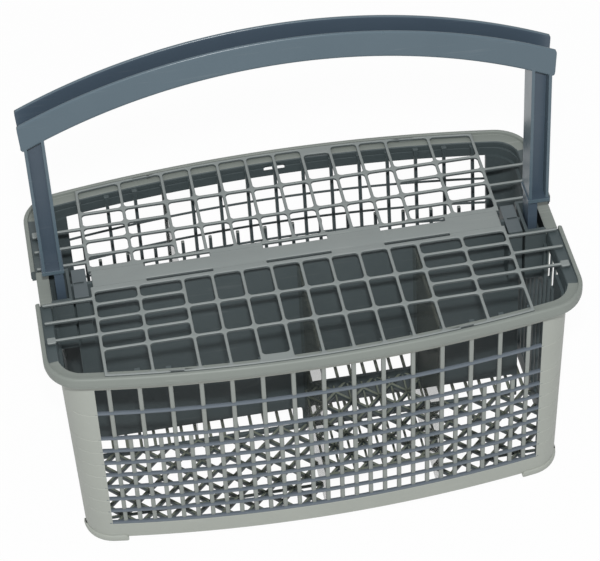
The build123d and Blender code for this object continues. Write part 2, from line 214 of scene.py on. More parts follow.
class MouldedSurface:
    """Shader node group of moulded plastic: cloudy colour, uneven gloss, fine grain and faint scuffs."""

    NAME = "moulded_surface"
    CLOUD_DETAIL = 5.0
    GLOSS_DRIFT = 0.16
    GRAIN_DETAIL = 2.0
    SCUFF_DETAIL = 3.0
    SCUFF_STRETCH = (40.0, 700.0, 700.0)
    SCUFF_START = 0.62
    SCUFF_FULL = 0.8
    SCUFF_COLOUR = (205, 207, 204)
    INPUTS = {
        "Place": "NodeSocketVector",
        "Colour": "NodeSocketColor",
        "Cloud Colour": "NodeSocketColor",
        "Cloud Scale": "NodeSocketFloat",
        "Grain Scale": "NodeSocketFloat",
        "Scuff Amount": "NodeSocketFloat",
        "Roughness": "NodeSocketFloat",
    }
    OUTPUTS = {
        "Colour": "NodeSocketColor",
        "Roughness": "NodeSocketFloat",
        "Height": "NodeSocketFloat",
    }

    @classmethod
    def group(cls) -> bpy.types.NodeTree:
        """The node group, built the first time that it is asked for."""
        return bpy.data.node_groups.get(cls.NAME) or cls.build()

    @classmethod
    def build(cls) -> bpy.types.NodeTree:
        """Put the node group together.

        Returns:
            The finished shader node group.
        """
        tree = bpy.data.node_groups.new(cls.NAME, "ShaderNodeTree")
        for label, kind in cls.INPUTS.items():
            tree.interface.new_socket(label, in_out="INPUT", socket_type=kind)
        for label, kind in cls.OUTPUTS.items():
            tree.interface.new_socket(label, in_out="OUTPUT", socket_type=kind)
        source = add_node(tree, "NodeGroupInput", {})
        place = source["Place"]

        feeds = {"Vector": place, "Scale": source["Cloud Scale"], "Detail": cls.CLOUD_DETAIL}
        cloud = add_node(tree, "ShaderNodeTexNoise", feeds)["Fac"]
        feeds = {"Factor": cloud, "A": source["Colour"], "B": source["Cloud Colour"]}
        tint = add_node(tree, "ShaderNodeMix", feeds, data_type="RGBA")["Result"]

        feeds = {0: place, 1: cls.SCUFF_STRETCH}
        stretched = add_node(tree, "ShaderNodeVectorMath", feeds, operation="MULTIPLY")["Vector"]
        feeds = {"Vector": stretched, "Scale": 1.0, "Detail": cls.SCUFF_DETAIL}
        scuff = add_node(tree, "ShaderNodeTexNoise", feeds)["Fac"]
        feeds = {"Value": scuff, "From Min": cls.SCUFF_START, "From Max": cls.SCUFF_FULL}
        mask = add_node(tree, "ShaderNodeMapRange", feeds)["Result"]
        feeds = {0: mask, 1: source["Scuff Amount"]}
        amount = add_node(tree, "ShaderNodeMath", feeds, operation="MULTIPLY")["Value"]
        feeds = {"Factor": amount, "A": tint, "B": linear(cls.SCUFF_COLOUR)}
        worn = add_node(tree, "ShaderNodeMix", feeds, data_type="RGBA")["Result"]

        feeds = {"Vector": place, "Scale": source["Grain Scale"], "Detail": cls.GRAIN_DETAIL}
        grain = add_node(tree, "ShaderNodeTexNoise", feeds)["Fac"]
        feeds = {0: cloud, 1: cls.GLOSS_DRIFT, 2: source["Roughness"]}
        gloss = add_node(tree, "ShaderNodeMath", feeds, operation="MULTIPLY_ADD")["Value"]
        add_node(tree, "NodeGroupOutput", {"Colour": worn, "Roughness": gloss, "Height": grain})
        return tree


@dataclass(frozen=True)
class MouldedPlastic:
    """One material of injection-moulded plastic, in its own colour or in a colour of painted shade or
    painted light.

    Attributes:
        tone: Which colour it is, and the material's name.
        colour: Screen colour of the plastic.
        cloud: Second screen colour that the first one drifts to.
        roughness: Roughness of the glossiest patches.
        specular: Specular level.
        grain: Depth of the spark-eroded grain, in millimetres.
        scuff: How much the pale scuffs show, from 0 to 1.
        alpha: How much of what lies behind it is covered, from 0 to 1.
        cloud_scale: Clouds to a metre.
        grain_scale: Grains to a metre.
        bump: How much the grain shows, from 0 to 1.
    """

    tone: Tone
    colour: tuple[int, int, int]
    cloud: tuple[int, int, int]
    roughness: float = 0.42
    specular: float = 0.4
    grain: float = 0.05
    scuff: float = 0.12
    alpha: float = 1.0
    cloud_scale: float = 38.0
    grain_scale: float = 1900.0
    bump: float = 0.5

    def material(self) -> bpy.types.Material:
        """The material, built the first time that it is asked for."""
        return bpy.data.materials.get(self.tone.value) or self.build()

    def build(self) -> bpy.types.Material:
        """Make the material from the shared surface group.

        Returns:
            The finished material.
        """
        material = bpy.data.materials.new(self.tone.value)
        material.use_nodes = True
        tree = material.node_tree
        feeds = {
            "Place": add_node(tree, "ShaderNodeTexCoord", {})["Object"],
            "Colour": linear(self.colour),
            "Cloud Colour": linear(self.cloud),
            "Cloud Scale": self.cloud_scale,
            "Grain Scale": self.grain_scale,
            "Scuff Amount": self.scuff,
            "Roughness": self.roughness,
        }
        surface = add_node(tree, "ShaderNodeGroup", feeds, node_tree=MouldedSurface.group())
        feeds = {"Strength": self.bump, "Distance": self.grain / MM, "Height": surface["Height"]}
        normal = add_node(tree, "ShaderNodeBump", feeds)["Normal"]
        feeds = {
            "Base Color": surface["Colour"],
            "Roughness": surface["Roughness"],
            "Specular IOR Level": self.specular,
            "Alpha": self.alpha,
            "Normal": normal,
        }
        feed(tree, tree.nodes["Principled BSDF"], feeds)
        return material


# Own colours of the plastics, and colours of painted shade and painted light, as marked below
FINISHES_AND_PAINTED_SHADING = {
    finish.tone: finish
    for finish in (
        MouldedPlastic(Tone.BODY, (171, 175, 167), (163, 167, 160)),
        MouldedPlastic(Tone.BAR, (147, 152, 147), (139, 144, 140)),
        MouldedPlastic(Tone.RIM, (135, 141, 135), (127, 133, 128)),
        # Painted shade on the inner faces
        MouldedPlastic(Tone.INSIDE, (76, 86, 88), (68, 78, 80), scuff=0.05),
        # Darkest painted shade, in recesses
        MouldedPlastic(Tone.SHADED_DEEP, (38, 44, 46), (32, 38, 40), scuff=0.02),
        # Painted light on the floor ribs' tops
        MouldedPlastic(Tone.FLOOR, (122, 128, 116), (112, 118, 107), scuff=0.05),
        MouldedPlastic(Tone.DIVIDER, (106, 110, 100), (98, 102, 93), scuff=0.04, alpha=0.3),
        # Painted shade on the ledges
        MouldedPlastic(Tone.SHADED_LEDGE, (106, 115, 124), (97, 106, 115), scuff=0.06),
        # Painted shade on the clip blocks' tops
        MouldedPlastic(Tone.CLIP, (92, 101, 104), (84, 93, 97), scuff=0.06),
        MouldedPlastic(Tone.COVER, (141, 147, 145), (133, 140, 139)),
        # Painted shade on the cover's upright edges
        MouldedPlastic(Tone.EDGE, (92, 99, 100), (84, 92, 93), scuff=0.04),
        MouldedPlastic(Tone.HANDLE, (86, 103, 113), (79, 96, 106), 0.22, 0.5, scuff=0.06),
        # Painted shade in the handle's hollow
        MouldedPlastic(Tone.SHADED_HOLLOW, (77, 91, 104), (69, 83, 96), 0.24, scuff=0.04),
    )
}


# Plan curves and meshes


def quad(low: Flat, high: Flat) -> list[Flat]:
    """Corners of a rectangle, once round, from two opposite ones."""
    return [low, (high[0], low[1]), high, (low[0], high[1])]


def ring_at(plan: list[Flat], height: float, flip_x: int = 1, flip_y: int = 1) -> Ring:
    """A plan at a height, mirrored along each axis whose flip is -1."""
    return [(flip_x * x, flip_y * y, height) for x, y in plan]


def rounded(corners: list[Corner], steps: int = 4) -> list[Flat]:
    """Round the corners of a closed polygon.

    Args:
        corners: Each corner's two coordinates and its radius.
        steps: Straight pieces in each rounded corner.

    Returns:
        The polygon's points, with an arc in place of each corner that has a radius.
    """
    points: list[Flat] = []
    count = len(corners)
    for index, (x, y, radius) in enumerate(corners):
        corner = Vector((x, y))
        before = Vector(corners[index - 1][:2]) - corner
        after = Vector(corners[(index + 1) % count][:2]) - corner
        half = before.angle(after) / 2
        if radius <= 0 or half > radians(STRAIGHT):
            points.append((x, y))
            continue
        reach = min(radius / tan(half), before.length / 2, after.length / 2)
        radius = reach * tan(half)
        before.normalize()
        after.normalize()
        centre = corner + (before + after).normalized() * (radius / sin(half))
        start = corner + before * reach - centre
        turn = start.angle_signed(corner + after * reach - centre)
        for step in range(steps + 1):
            spoke = start.copy()
            spoke.rotate(Matrix.Rotation(-turn * step / steps, 2))
            points.append(tuple(centre + spoke))
    return points


@dataclass(frozen=True)
class PlanCurve:
    """A plan outline with straight ends, bowed long sides and round corners."""

    half_length: float
    half_depth: float
    bow: float
    corner: float

    def inset(self, depth: float) -> "PlanCurve":
        """The outline moved inwards by a depth."""
        return PlanCurve(
            self.half_length - depth, self.half_depth - depth, self.bow - depth, self.corner - depth
        )

    def side_y(self, x: float) -> float:
        """Distance of a long side from the middle at a place along it."""
        return self.half_depth - self.bow + sqrt(self.bow**2 - x**2)

    def quarter(
        self, start_x: float, end_y: float, bow_steps: int = 20, turn_steps: int = 10
    ) -> list[Flat]:
        """The right rear quarter, from a place along the bow to a place along the end.

        Args:
            start_x: Where the quarter starts along the bow.
            end_y: Where it stops along the end.
            bow_steps: Straight pieces along the bow.
            turn_steps: Straight pieces round the corner.

        Returns:
            Points of the quarter.
        """
        axis = self.half_depth - self.bow
        centre_x = self.half_length - self.corner
        centre_y = axis + sqrt((self.bow - self.corner) ** 2 - centre_x**2)
        first = atan2(centre_y - axis, centre_x)
        tangent_x = self.bow * cos(first)
        points = []
        for step in range(bow_steps):
            x = start_x + (tangent_x - start_x) * step / bow_steps
            points.append((x, self.side_y(x)))
        for step in range(turn_steps + 1):
            angle = first * (1 - step / turn_steps)
            points.append((centre_x + self.corner * cos(angle), centre_y + self.corner * sin(angle)))
        points.append((self.half_length, end_y))
        return points

    def half(self, side: Side, end_y: float) -> list[Flat]:
        """One long side with its two corners, from end to end.

        Args:
            side: Which long side.
            end_y: Distance from the middle at which the ends stop.

        Returns:
            Points from the right end round to the left end.
        """
        right = self.quarter(0.0, end_y)[::-1]
        left = [(-x, y) for x, y in reversed(right[:-1])]
        return [(x, side.value * y) for x, y in right + left]

    def loop(self) -> list[Flat]:
        """The whole outline, once round."""
        rear = self.half(Side.REAR, 0.0)
        return rear[:-1] + [(-x, -y) for x, y in rear[:-1]]


@dataclass(frozen=True)
class BasketPlan:
    """Outlines that the basket's pieces share.

    Attributes:
        overhang: How far the rim stands out over the wall.
        side_lean: Lean of the long walls, as a slope.
        end_lean: Lean of the end walls, as a slope.
    """

    rim_bow: float = 627.0
    rim_corner: float = 18.0
    overhang: float = 6.0
    wall_corner: float = 14.0
    side_lean: float = tan(radians(3.4))
    end_lean: float = tan(radians(1.0))
    band_height: float = 13.1
    rear_band: float = 9.8
    rear_tall_row: float = 14.45
    rail_height: float = 9.4
    tall_rows: int = 2
    short_rows: int = 7
    panel_half: float = 100.0
    vent_half: float = 5.0
    vent_reach: float = 66.6
    vent_top: float = 5.0
    vent_height: float = 2.0

    @property
    def vent(self) -> tuple[Point, Point]:
        """Lowest and highest corner of the vent slot under the rear rim."""
        top = RIM_TOP - self.vent_top
        return (-self.vent_half, 0.0, top - self.vent_height), (self.vent_half, self.vent_reach, top)

    def lattice_top(self, side: Side) -> float:
        """Height of the top of a long wall's highest window row."""
        return RIM_TOP - (self.band_height if side is Side.FRONT else self.rear_band)

    @property
    def lattice_bottom(self) -> float:
        """Height of the bottom rail's top edge."""
        return FOOT_HEIGHT + self.rail_height

    def tall_row(self, side: Side) -> float:
        """Height of a tall window row with its ledge, which at the front is two short rows.

        Args:
            side: Which long wall.

        Returns:
            The height.
        """
        rows = 2 * self.tall_rows + self.short_rows
        front = 2 * (self.lattice_top(side) - self.lattice_bottom) / rows
        return front if side is Side.FRONT else self.rear_tall_row

    def fine_top(self, side: Side) -> float:
        """Height below which the bars stand at the fine pitch."""
        return self.lattice_top(side) - self.tall_rows * self.tall_row(side)

    def short_row(self, side: Side) -> float:
        """Height of a short window row with its ledge."""
        return (self.fine_top(side) - self.lattice_bottom) / self.short_rows

    def rim(self, depth: float) -> PlanCurve:
        """The rim's outline moved inwards by a depth."""
        curve = PlanCurve(BASKET_HIGH.x, BASKET_HIGH.y, self.rim_bow, self.rim_corner)
        return curve.inset(depth)

    def wall(self, depth: float, height: float) -> PlanCurve:
        """The wall's outline at a height, moved inwards from its outer face by a depth.

        Args:
            depth: Distance inside the wall's outer face.
            height: Height above the table.

        Returns:
            The outline there.
        """
        drop = RIM_TOP - height
        curve = PlanCurve(
            BASKET_HIGH.x - self.overhang - self.end_lean * drop,
            BASKET_HIGH.y - self.overhang - self.side_lean * drop,
            self.rim_bow - self.overhang,
            self.wall_corner,
        )
        return curve.inset(depth)

    def ledge_heights(self, side: Side) -> list[float]:
        """Heights of the ledges of a long wall.

        Args:
            side: Which long wall.

        Returns:
            Underside of each ledge, from the top down.
        """
        tall = [self.lattice_top(side) - (i + 1) * self.tall_row(side) for i in range(self.tall_rows)]
        short = [self.fine_top(side) - (i + 1) * self.short_row(side) for i in range(self.short_rows)]
        return tall + short


class Moulding:
    """A mesh in the making, in millimetres."""

    def __init__(self) -> None:
        """Start with nothing."""
        self.shape = bmesh.new()

    def loft(self, rings: list[Ring], loop: bool = False, second: frozenset[int] = frozenset()) -> None:
        """Skin a row of closed rings of equally many points.

        Args:
            rings: The rings, in order.
            loop: Whether the last ring joins the first. Otherwise both ends are capped.
            second: Points of a ring that end a stretch with the second material, which the rim uses for
                painted shade.
        """
        rows = [[self.shape.verts.new(point) for point in ring] for ring in rings]
        pairs = list(zip(rows, rows[1:]))
        if loop:
            pairs.append((rows[-1], rows[0]))
        else:
            self.shape.faces.new(rows[0][::-1])
            self.shape.faces.new(rows[-1])
        for low, high in pairs:
            for index in range(len(low)):
                face = self.shape.faces.new((low[index - 1], low[index], high[index], high[index - 1]))
                face.material_index = int(index in second)

    def box(self, low: Point, high: Point) -> None:
        """Add a box between two opposite corners."""
        plan = quad(low[:2], high[:2])
        self.loft([ring_at(plan, height) for height in (low[2], high[2])])

    def pocket_box(self, low: Point, high: Point, pocket_low: Point, pocket_high: Point) -> None:
        """Add a box with a pocket sunk into its top.

        Args:
            low: Lowest corner of the box.
            high: Highest corner of the box.
            pocket_low: Lowest corner of the pocket.
            pocket_high: Highest corner of the pocket, whose height isn't used.
        """
        outer = quad(low[:2], high[:2])
        inner = quad(pocket_low[:2], pocket_high[:2])
        levels = ((outer, low[2]), (outer, high[2]), (inner, high[2]), (inner, pocket_low[2]))
        self.loft([ring_at(*level) for level in levels])

    def mesh(self, name: str) -> bpy.types.Mesh:
        """Turn what was made into a mesh and let go of it.

        Args:
            name: The mesh's name.

        Returns:
            The mesh, still in millimetres.
        """
        mesh = bpy.data.meshes.new(name)
        bmesh.ops.recalc_face_normals(self.shape, faces=self.shape.faces)
        self.shape.to_mesh(mesh)
        self.shape.free()
        return mesh


def finish_mesh(mesh: bpy.types.Mesh, smooth_angle: float = SMOOTH) -> bpy.types.Mesh:
    """Point the faces outwards, go to metres and smooth the gentle edges.

    Args:
        mesh: A mesh in millimetres.
        smooth_angle: Edges that turn by less than this are shaded smooth, in degrees.

    Returns:
        The same mesh.
    """
    shape = bmesh.new()
    shape.from_mesh(mesh)
    bmesh.ops.remove_doubles(shape, verts=shape.verts, dist=MERGE)
    bmesh.ops.recalc_face_normals(shape, faces=shape.faces)
    shape.to_mesh(mesh)
    shape.free()
    mesh.transform(Matrix.Scale(1 / MM, 4))
    mesh.shade_smooth()
    mesh.set_sharp_from_angle(angle=radians(smooth_angle))
    return mesh


def line_inside(point: Flat, direction: Flat, outline: list[Flat]) -> tuple[float, float] | None:
    """The stretch of a line inside a convex outline.

    Args:
        point: A point of the line.
        direction: The line's direction.
        outline: The outline's points, anticlockwise.

    Returns:
        First and last place along the line, or None where it misses the outline.
    """
    first, last = -FAR, FAR
    for (ax, ay), (bx, by) in zip(outline, outline[1:] + outline[:1]):
        edge_x, edge_y = bx - ax, by - ay
        gap = edge_x * (point[1] - ay) - edge_y * (point[0] - ax)
        rate = edge_x * direction[1] - edge_y * direction[0]
        if abs(rate) < PARALLEL:
            if gap < 0:
                return None
            continue
        place = -gap / rate
        if rate > 0:
            first = max(first, place)
        else:
            last = min(last, place)
    return (first, last) if last - first > SHORTEST else None


def show(name: str, data: bpy.types.ID) -> bpy.types.Object:
    """Put a mesh, a curve, a lamp or a camera into the scene.

    Args:
        name: The object's name.
        data: What it holds.

    Returns:
        The new object.
    """
    holder = bpy.data.objects.new(name, data)
    bpy.context.collection.objects.link(holder)
    return holder


def plain_mesh(holder: bpy.types.Object) -> bpy.types.Mesh:
    """A plain mesh of an object as its curve or its modifiers make it."""
    evaluated = holder.evaluated_get(bpy.context.evaluated_depsgraph_get())
    return bpy.data.meshes.new_from_object(evaluated)


def flat_sheet(
    name: str, outer: list[Flat], holes: list[list[Flat]], thickness: float, edge: float
) -> bpy.types.Mesh:
    """A flat sheet with holes and rounded edges, lying in the XY plane about Z = 0.

    Args:
        name: The mesh's name.
        outer: The sheet's outline.
        holes: Outlines of the holes.
        thickness: The sheet's thickness.
        edge: Radius of the rounded edges.

    Returns:
        The sheet as a mesh in millimetres.
    """
    curve = bpy.data.curves.new(name, "CURVE")
    curve.dimensions = "2D"
    curve.fill_mode = "BOTH"
    curve.extrude = thickness / 2 - edge
    curve.bevel_depth = edge
    curve.bevel_resolution = EDGE_STEPS
    curve.offset = -edge
    for outline in [outer] + holes:
        spline = curve.splines.new("POLY")
        spline.points.add(len(outline) - 1)
        for place, (x, y) in zip(spline.points, outline):
            place.co = (x, y, 0.0, 1.0)
        spline.use_cyclic_u = True
    holder = show(name, curve)
    mesh = plain_mesh(holder)
    bpy.data.objects.remove(holder)
    bpy.data.curves.remove(curve)
    return mesh


def cut_flat(mesh: bpy.types.Mesh, place: Point, outward: Point) -> None:
    """Cut a closed mesh off at a plane and close the cut.

    Args:
        mesh: The mesh to cut.
        place: A point of the plane.
        outward: The side of the plane that is cut away.
    """
    shape = bmesh.new()
    shape.from_mesh(mesh)
    bmesh.ops.remove_doubles(shape, verts=shape.verts, dist=MERGE)
    parts = shape.verts[:] + shape.edges[:] + shape.faces[:]
    bmesh.ops.bisect_plane(shape, geom=parts, plane_co=place, plane_no=outward, clear_outer=True)
    rim = [edge for edge in shape.edges if edge.is_boundary]
    bmesh.ops.edgenet_fill(shape, edges=rim)
    shape.to_mesh(mesh)
    shape.free()


def cut_box(mesh: bpy.types.Mesh, low: Point, high: Point) -> bpy.types.Mesh:
    """Cut a box out of a closed mesh.

    Args:
        mesh: The mesh to cut, which is used up.
        low: Lowest corner of the box.
        high: Highest corner of the box.

    Returns:
        What is left of the mesh.
    """
    box = Moulding()
    box.box(low, high)
    uncut = show("uncut", mesh)
    cutter = show("cutter", box.mesh("cutter"))
    cut = uncut.modifiers.new("cut", "BOOLEAN")
    cut.operation = "DIFFERENCE"
    cut.object = cutter
    result = plain_mesh(uncut)
    for holder in (uncut, cutter):
        shape = holder.data
        bpy.data.objects.remove(holder)
        bpy.data.meshes.remove(shape)
    return result


# Geometry Nodes trees


class TreeSketch:
    """A Geometry Nodes tree with named inputs, put together node by node."""

    SECTION = {
        "Width": "NodeSocketFloat",
        "Height": "NodeSocketFloat",
        "Edge Radius": "NodeSocketFloat",
        "Material": "NodeSocketMaterial",
    }

    def __init__(self, name: str, inputs: dict[str, str]) -> None:
        """Make the tree with its sockets.

        Args:
            name: The tree's name.
            inputs: Kind of socket of each named input beside those of the rib's section.
        """
        self.tree = bpy.data.node_groups.new(name, "GeometryNodeTree")
        sockets = {"Geometry": "NodeSocketGeometry"} | inputs | self.SECTION
        for label, kind in sockets.items():
            self.tree.interface.new_socket(label, in_out="INPUT", socket_type=kind)
        self.tree.interface.new_socket("Geometry", in_out="OUTPUT", socket_type="NodeSocketGeometry")
        self.source = self.node("NodeGroupInput", {})

    def node(self, kind: str, feeds: dict[str, object], **settings: object) -> bpy.types.NodeOutputs:
        """Add a node to the tree and return its outputs."""
        return add_node(self.tree, kind, feeds, **settings)

    def math(self, operation: str, first: object, second: object = 0.0) -> bpy.types.NodeSocket:
        """Add a sum of one or two values and return its result."""
        return add_node(self.tree, "ShaderNodeMath", {0: first, 1: second}, operation=operation)[0]

    def sweep(self, curve: bpy.types.NodeSocket) -> bpy.types.NodeSocket:
        """Sweep the rib's rounded section along curves.

        Args:
            curve: The curves.

        Returns:
            The ribs as meshes.
        """
        section = self.node(
            "GeometryNodeCurvePrimitiveQuadrilateral",
            {"Width": self.source["Width"], "Height": self.source["Height"]},
        )[0]
        soft = self.node(
            "GeometryNodeFilletCurve",
            {
                "Curve": section,
                "Count": EDGE_STEPS,
                "Radius": self.source["Edge Radius"],
                "Limit Radius": True,
            },
            mode="POLY",
        )[0]
        level = self.node("GeometryNodeSetCurveNormal", {"Curve": curve}, mode="Z_UP")[0]
        return self.node(
            "GeometryNodeCurveToMesh", {"Curve": level, "Profile Curve": soft, "Fill Caps": True}
        )[0]

    def finish(self, shape: bpy.types.NodeSocket) -> bpy.types.NodeTree:
        """End the tree in plain geometry with its material.

        Args:
            shape: The geometry to put out.

        Returns:
            The finished tree.
        """
        plain = self.node("GeometryNodeRealizeInstances", {"Geometry": shape})[0]
        dressed = self.node(
            "GeometryNodeSetMaterial", {"Geometry": plain, "Material": self.source["Material"]}
        )[0]
        self.node("NodeGroupOutput", {"Geometry": dressed})
        return self.tree


def rib_tree() -> bpy.types.NodeTree:
    """Tree that puts a rib along each edge of the mesh that it is given.

    Returns:
        The finished tree.
    """
    sketch = TreeSketch("ribs_on_edges", {})
    curve = sketch.node("GeometryNodeMeshToCurve", {"Mesh": sketch.source["Geometry"]})[0]
    return sketch.finish(sketch.sweep(curve))


def bar_tree() -> bpy.types.NodeTree:
    """Tree that stands a row of leaning bars along the bow of a long wall.

    Returns:
        The finished tree.
    """
    sketch = TreeSketch(
        "bars_along_bow",
        {
            "Count": "NodeSocketInt",
            "Pitch": "NodeSocketFloat",
            "Foot": "NodeSocketVector",
            "Head": "NodeSocketVector",
            "Bow Radius": "NodeSocketFloat",
            "Side": "NodeSocketFloat",
        },
    )
    source = sketch.source
    span = sketch.math("MULTIPLY", sketch.math("SUBTRACT", source["Count"], 1.0), source["Pitch"])
    first = sketch.math("MULTIPLY", span, -0.5)
    start = sketch.node("ShaderNodeCombineXYZ", {"X": first})[0]
    step = sketch.node("ShaderNodeCombineXYZ", {"X": source["Pitch"]})[0]
    line = sketch.node(
        "GeometryNodeMeshLine", {"Count": source["Count"], "Start Location": start, "Offset": step}
    )[0]
    place = sketch.node("GeometryNodeInputPosition", {})[0]
    x = sketch.node("ShaderNodeSeparateXYZ", {"Vector": place})["X"]
    bow = source["Bow Radius"]
    square = sketch.math("SUBTRACT", sketch.math("POWER", bow, 2.0), sketch.math("POWER", x, 2.0))
    sag = sketch.math("SUBTRACT", sketch.math("SQRT", square), bow)
    y = sketch.math("MULTIPLY", sag, source["Side"])
    shift = sketch.node("ShaderNodeCombineXYZ", {"Y": y})[0]
    places = sketch.node("GeometryNodeSetPosition", {"Geometry": line, "Offset": shift})[0]
    post = sketch.node(
        "GeometryNodeCurvePrimitiveLine", {"Start": source["Foot"], "End": source["Head"]}
    )[0]
    bars = sketch.node(
        "GeometryNodeInstanceOnPoints", {"Points": places, "Instance": sketch.sweep(post)}
    )[0]
    return sketch.finish(bars)


def ledge_tree() -> bpy.types.NodeTree:
    """Tree that stacks bowed ledges down a long wall.

    Returns:
        The finished tree.
    """
    sketch = TreeSketch(
        "ledges_down_wall",
        {
            "Count": "NodeSocketInt",
            "First Place": "NodeSocketVector",
            "Step": "NodeSocketVector",
            "Bow Radius": "NodeSocketFloat",
            "Start Angle": "NodeSocketFloat",
            "Sweep Angle": "NodeSocketFloat",
        },
    )
    source = sketch.source
    arc = sketch.node(
        "GeometryNodeCurveArc",
        {
            "Resolution": LEDGE_POINTS,
            "Radius": source["Bow Radius"],
            "Start Angle": source["Start Angle"],
            "Sweep Angle": source["Sweep Angle"],
        },
        mode="RADIUS",
    )[0]
    line = sketch.node(
        "GeometryNodeMeshLine",
        {"Count": source["Count"], "Start Location": source["First Place"], "Offset": source["Step"]},
    )[0]
    ledges = sketch.node(
        "GeometryNodeInstanceOnPoints", {"Points": line, "Instance": sketch.sweep(arc)}
    )[0]
    return sketch.finish(ledges)


def grow(
    name: str, tree: bpy.types.NodeTree, values: dict[str, object], edges: list[Edge]
) -> bpy.types.Mesh:
    """Run a Geometry Nodes tree and keep its result as a plain mesh.

    Args:
        name: The mesh's name.
        tree: The tree.
        values: The tree's named inputs.
        edges: Edges that the tree is given, where it takes any.

    Returns:
        The result, in millimetres.
    """
    seed = bpy.data.meshes.new(name)
    points = [point for edge in edges for point in edge]
    seed.from_pydata(points, [(2 * i, 2 * i + 1) for i in range(len(edges))], [])
    holder = show(name, seed)
    modifier = holder.modifiers.new(tree.name, "NODES")
    modifier.node_group = tree
    items = tree.interface.items_tree
    sockets = {item.name: item.identifier for item in items if item.in_out == "INPUT"}
    for label, value in values.items():
        modifier[sockets[label]] = value
    mesh = plain_mesh(holder)
    holder.modifiers.remove(modifier)
    bpy.data.objects.remove(holder)
    bpy.data.meshes.remove(seed)
    while mesh.materials[0] is None:
        mesh.materials.pop(index=0)
    return mesh


@dataclass(frozen=True)
class Role:
    """What a piece is in the frame: its body, the solid that it stands for and its slot."""

    body: Body
    node: str
    slot: Slot


BASKET_ROLE = Role(Body.BASKET, "basket", Slot.BASKET)
HANDLE_ROLE = Role(Body.BASKET, "handle", Slot.HANDLE)
SPINE_ROLE = Role(Body.BASKET, "cover_spine", Slot.COVER)
FLAP_ROLES = {
    Side.FRONT: Role(Body.FRONT_FLAP, "front_flap", Slot.COVER),
    Side.REAR: Role(Body.REAR_FLAP, "rear_flap", Slot.COVER),
}


def settle(
    name: str,
    mesh: bpy.types.Mesh,
    role: Role,
    tones: tuple[Tone, ...] = (),
    bevel: float = 0.0,
    smooth_angle: float = SMOOTH,
) -> bpy.types.Object:
    """Make a finished mesh a piece of the object.

    Args:
        name: The piece's name.
        mesh: The mesh, in millimetres.
        role: Its body, solid and slot.
        tones: Its materials, own colours and painted shade and light, where the mesh has none yet.
        bevel: Width of the rounding put on its sharp edges.
        smooth_angle: Edges that turn by less than this are shaded smooth, in degrees.

    Returns:
        The piece.
    """
    for tone in tones:
        mesh.materials.append(FINISHES_AND_PAINTED_SHADING[tone].material())
    piece = show(name, finish_mesh(mesh, smooth_angle))
    if bevel:
        rounding = piece.modifiers.new("rounding", "BEVEL")
        rounding.width = bevel / MM
        rounding.segments = EDGE_STEPS
        rounding.limit_method = "ANGLE"
        rounding.angle_limit = radians(SHARP)
        rounding.harden_normals = True
    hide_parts(role.node)
    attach(piece, role.body.value)
    LOG.info("%s: %d faces on body %s", name, len(mesh.polygons), role.body.value)
    return piece


@dataclass(frozen=True)
class RibSection:
    """Section and colours of a row of ribs: a main colour and a second one; either can be painted shade,
    and on floor rib tops the second is painted light.
    """

    width: float
    height: float
    edge: float
    tone: Tone
    second: Tone

    def piece(
        self, name: str, tree: bpy.types.NodeTree, values: dict[str, object], edges: list[Edge]
    ) -> bpy.types.Object:
        """Grow ribs of this section and make them a piece of the basket.

        Args:
            name: The piece's name.
            tree: The tree that grows them.
            values: The tree's other inputs.
            edges: Edges that the tree is given, where it takes any.

        Returns:
            The piece.
        """
        section = {
            "Width": self.width,
            "Height": self.height,
            "Edge Radius": self.edge,
            "Material": FINISHES_AND_PAINTED_SHADING[self.tone].material(),
        }
        mesh = grow(name, tree, values | section, edges)
        return settle(name, mesh, BASKET_ROLE, (self.second,))


def paint_inside_shade(mesh: bpy.types.Mesh, least: float = 0.4) -> None:
    """Paint shade on the faces that look into the basket, with the second material.

    Args:
        mesh: The mesh.
        least: How far inwards a face must look, from -1 straight out to 1 straight in.
    """
    for face in mesh.polygons:
        x, y, _ = face.center
        inward = Vector((-x / BASKET_HIGH.x**2, -y / BASKET_HIGH.y**2, 0.0)).normalized()
        if face.normal.dot(inward) > least:
            face.material_index = 1


# Basket


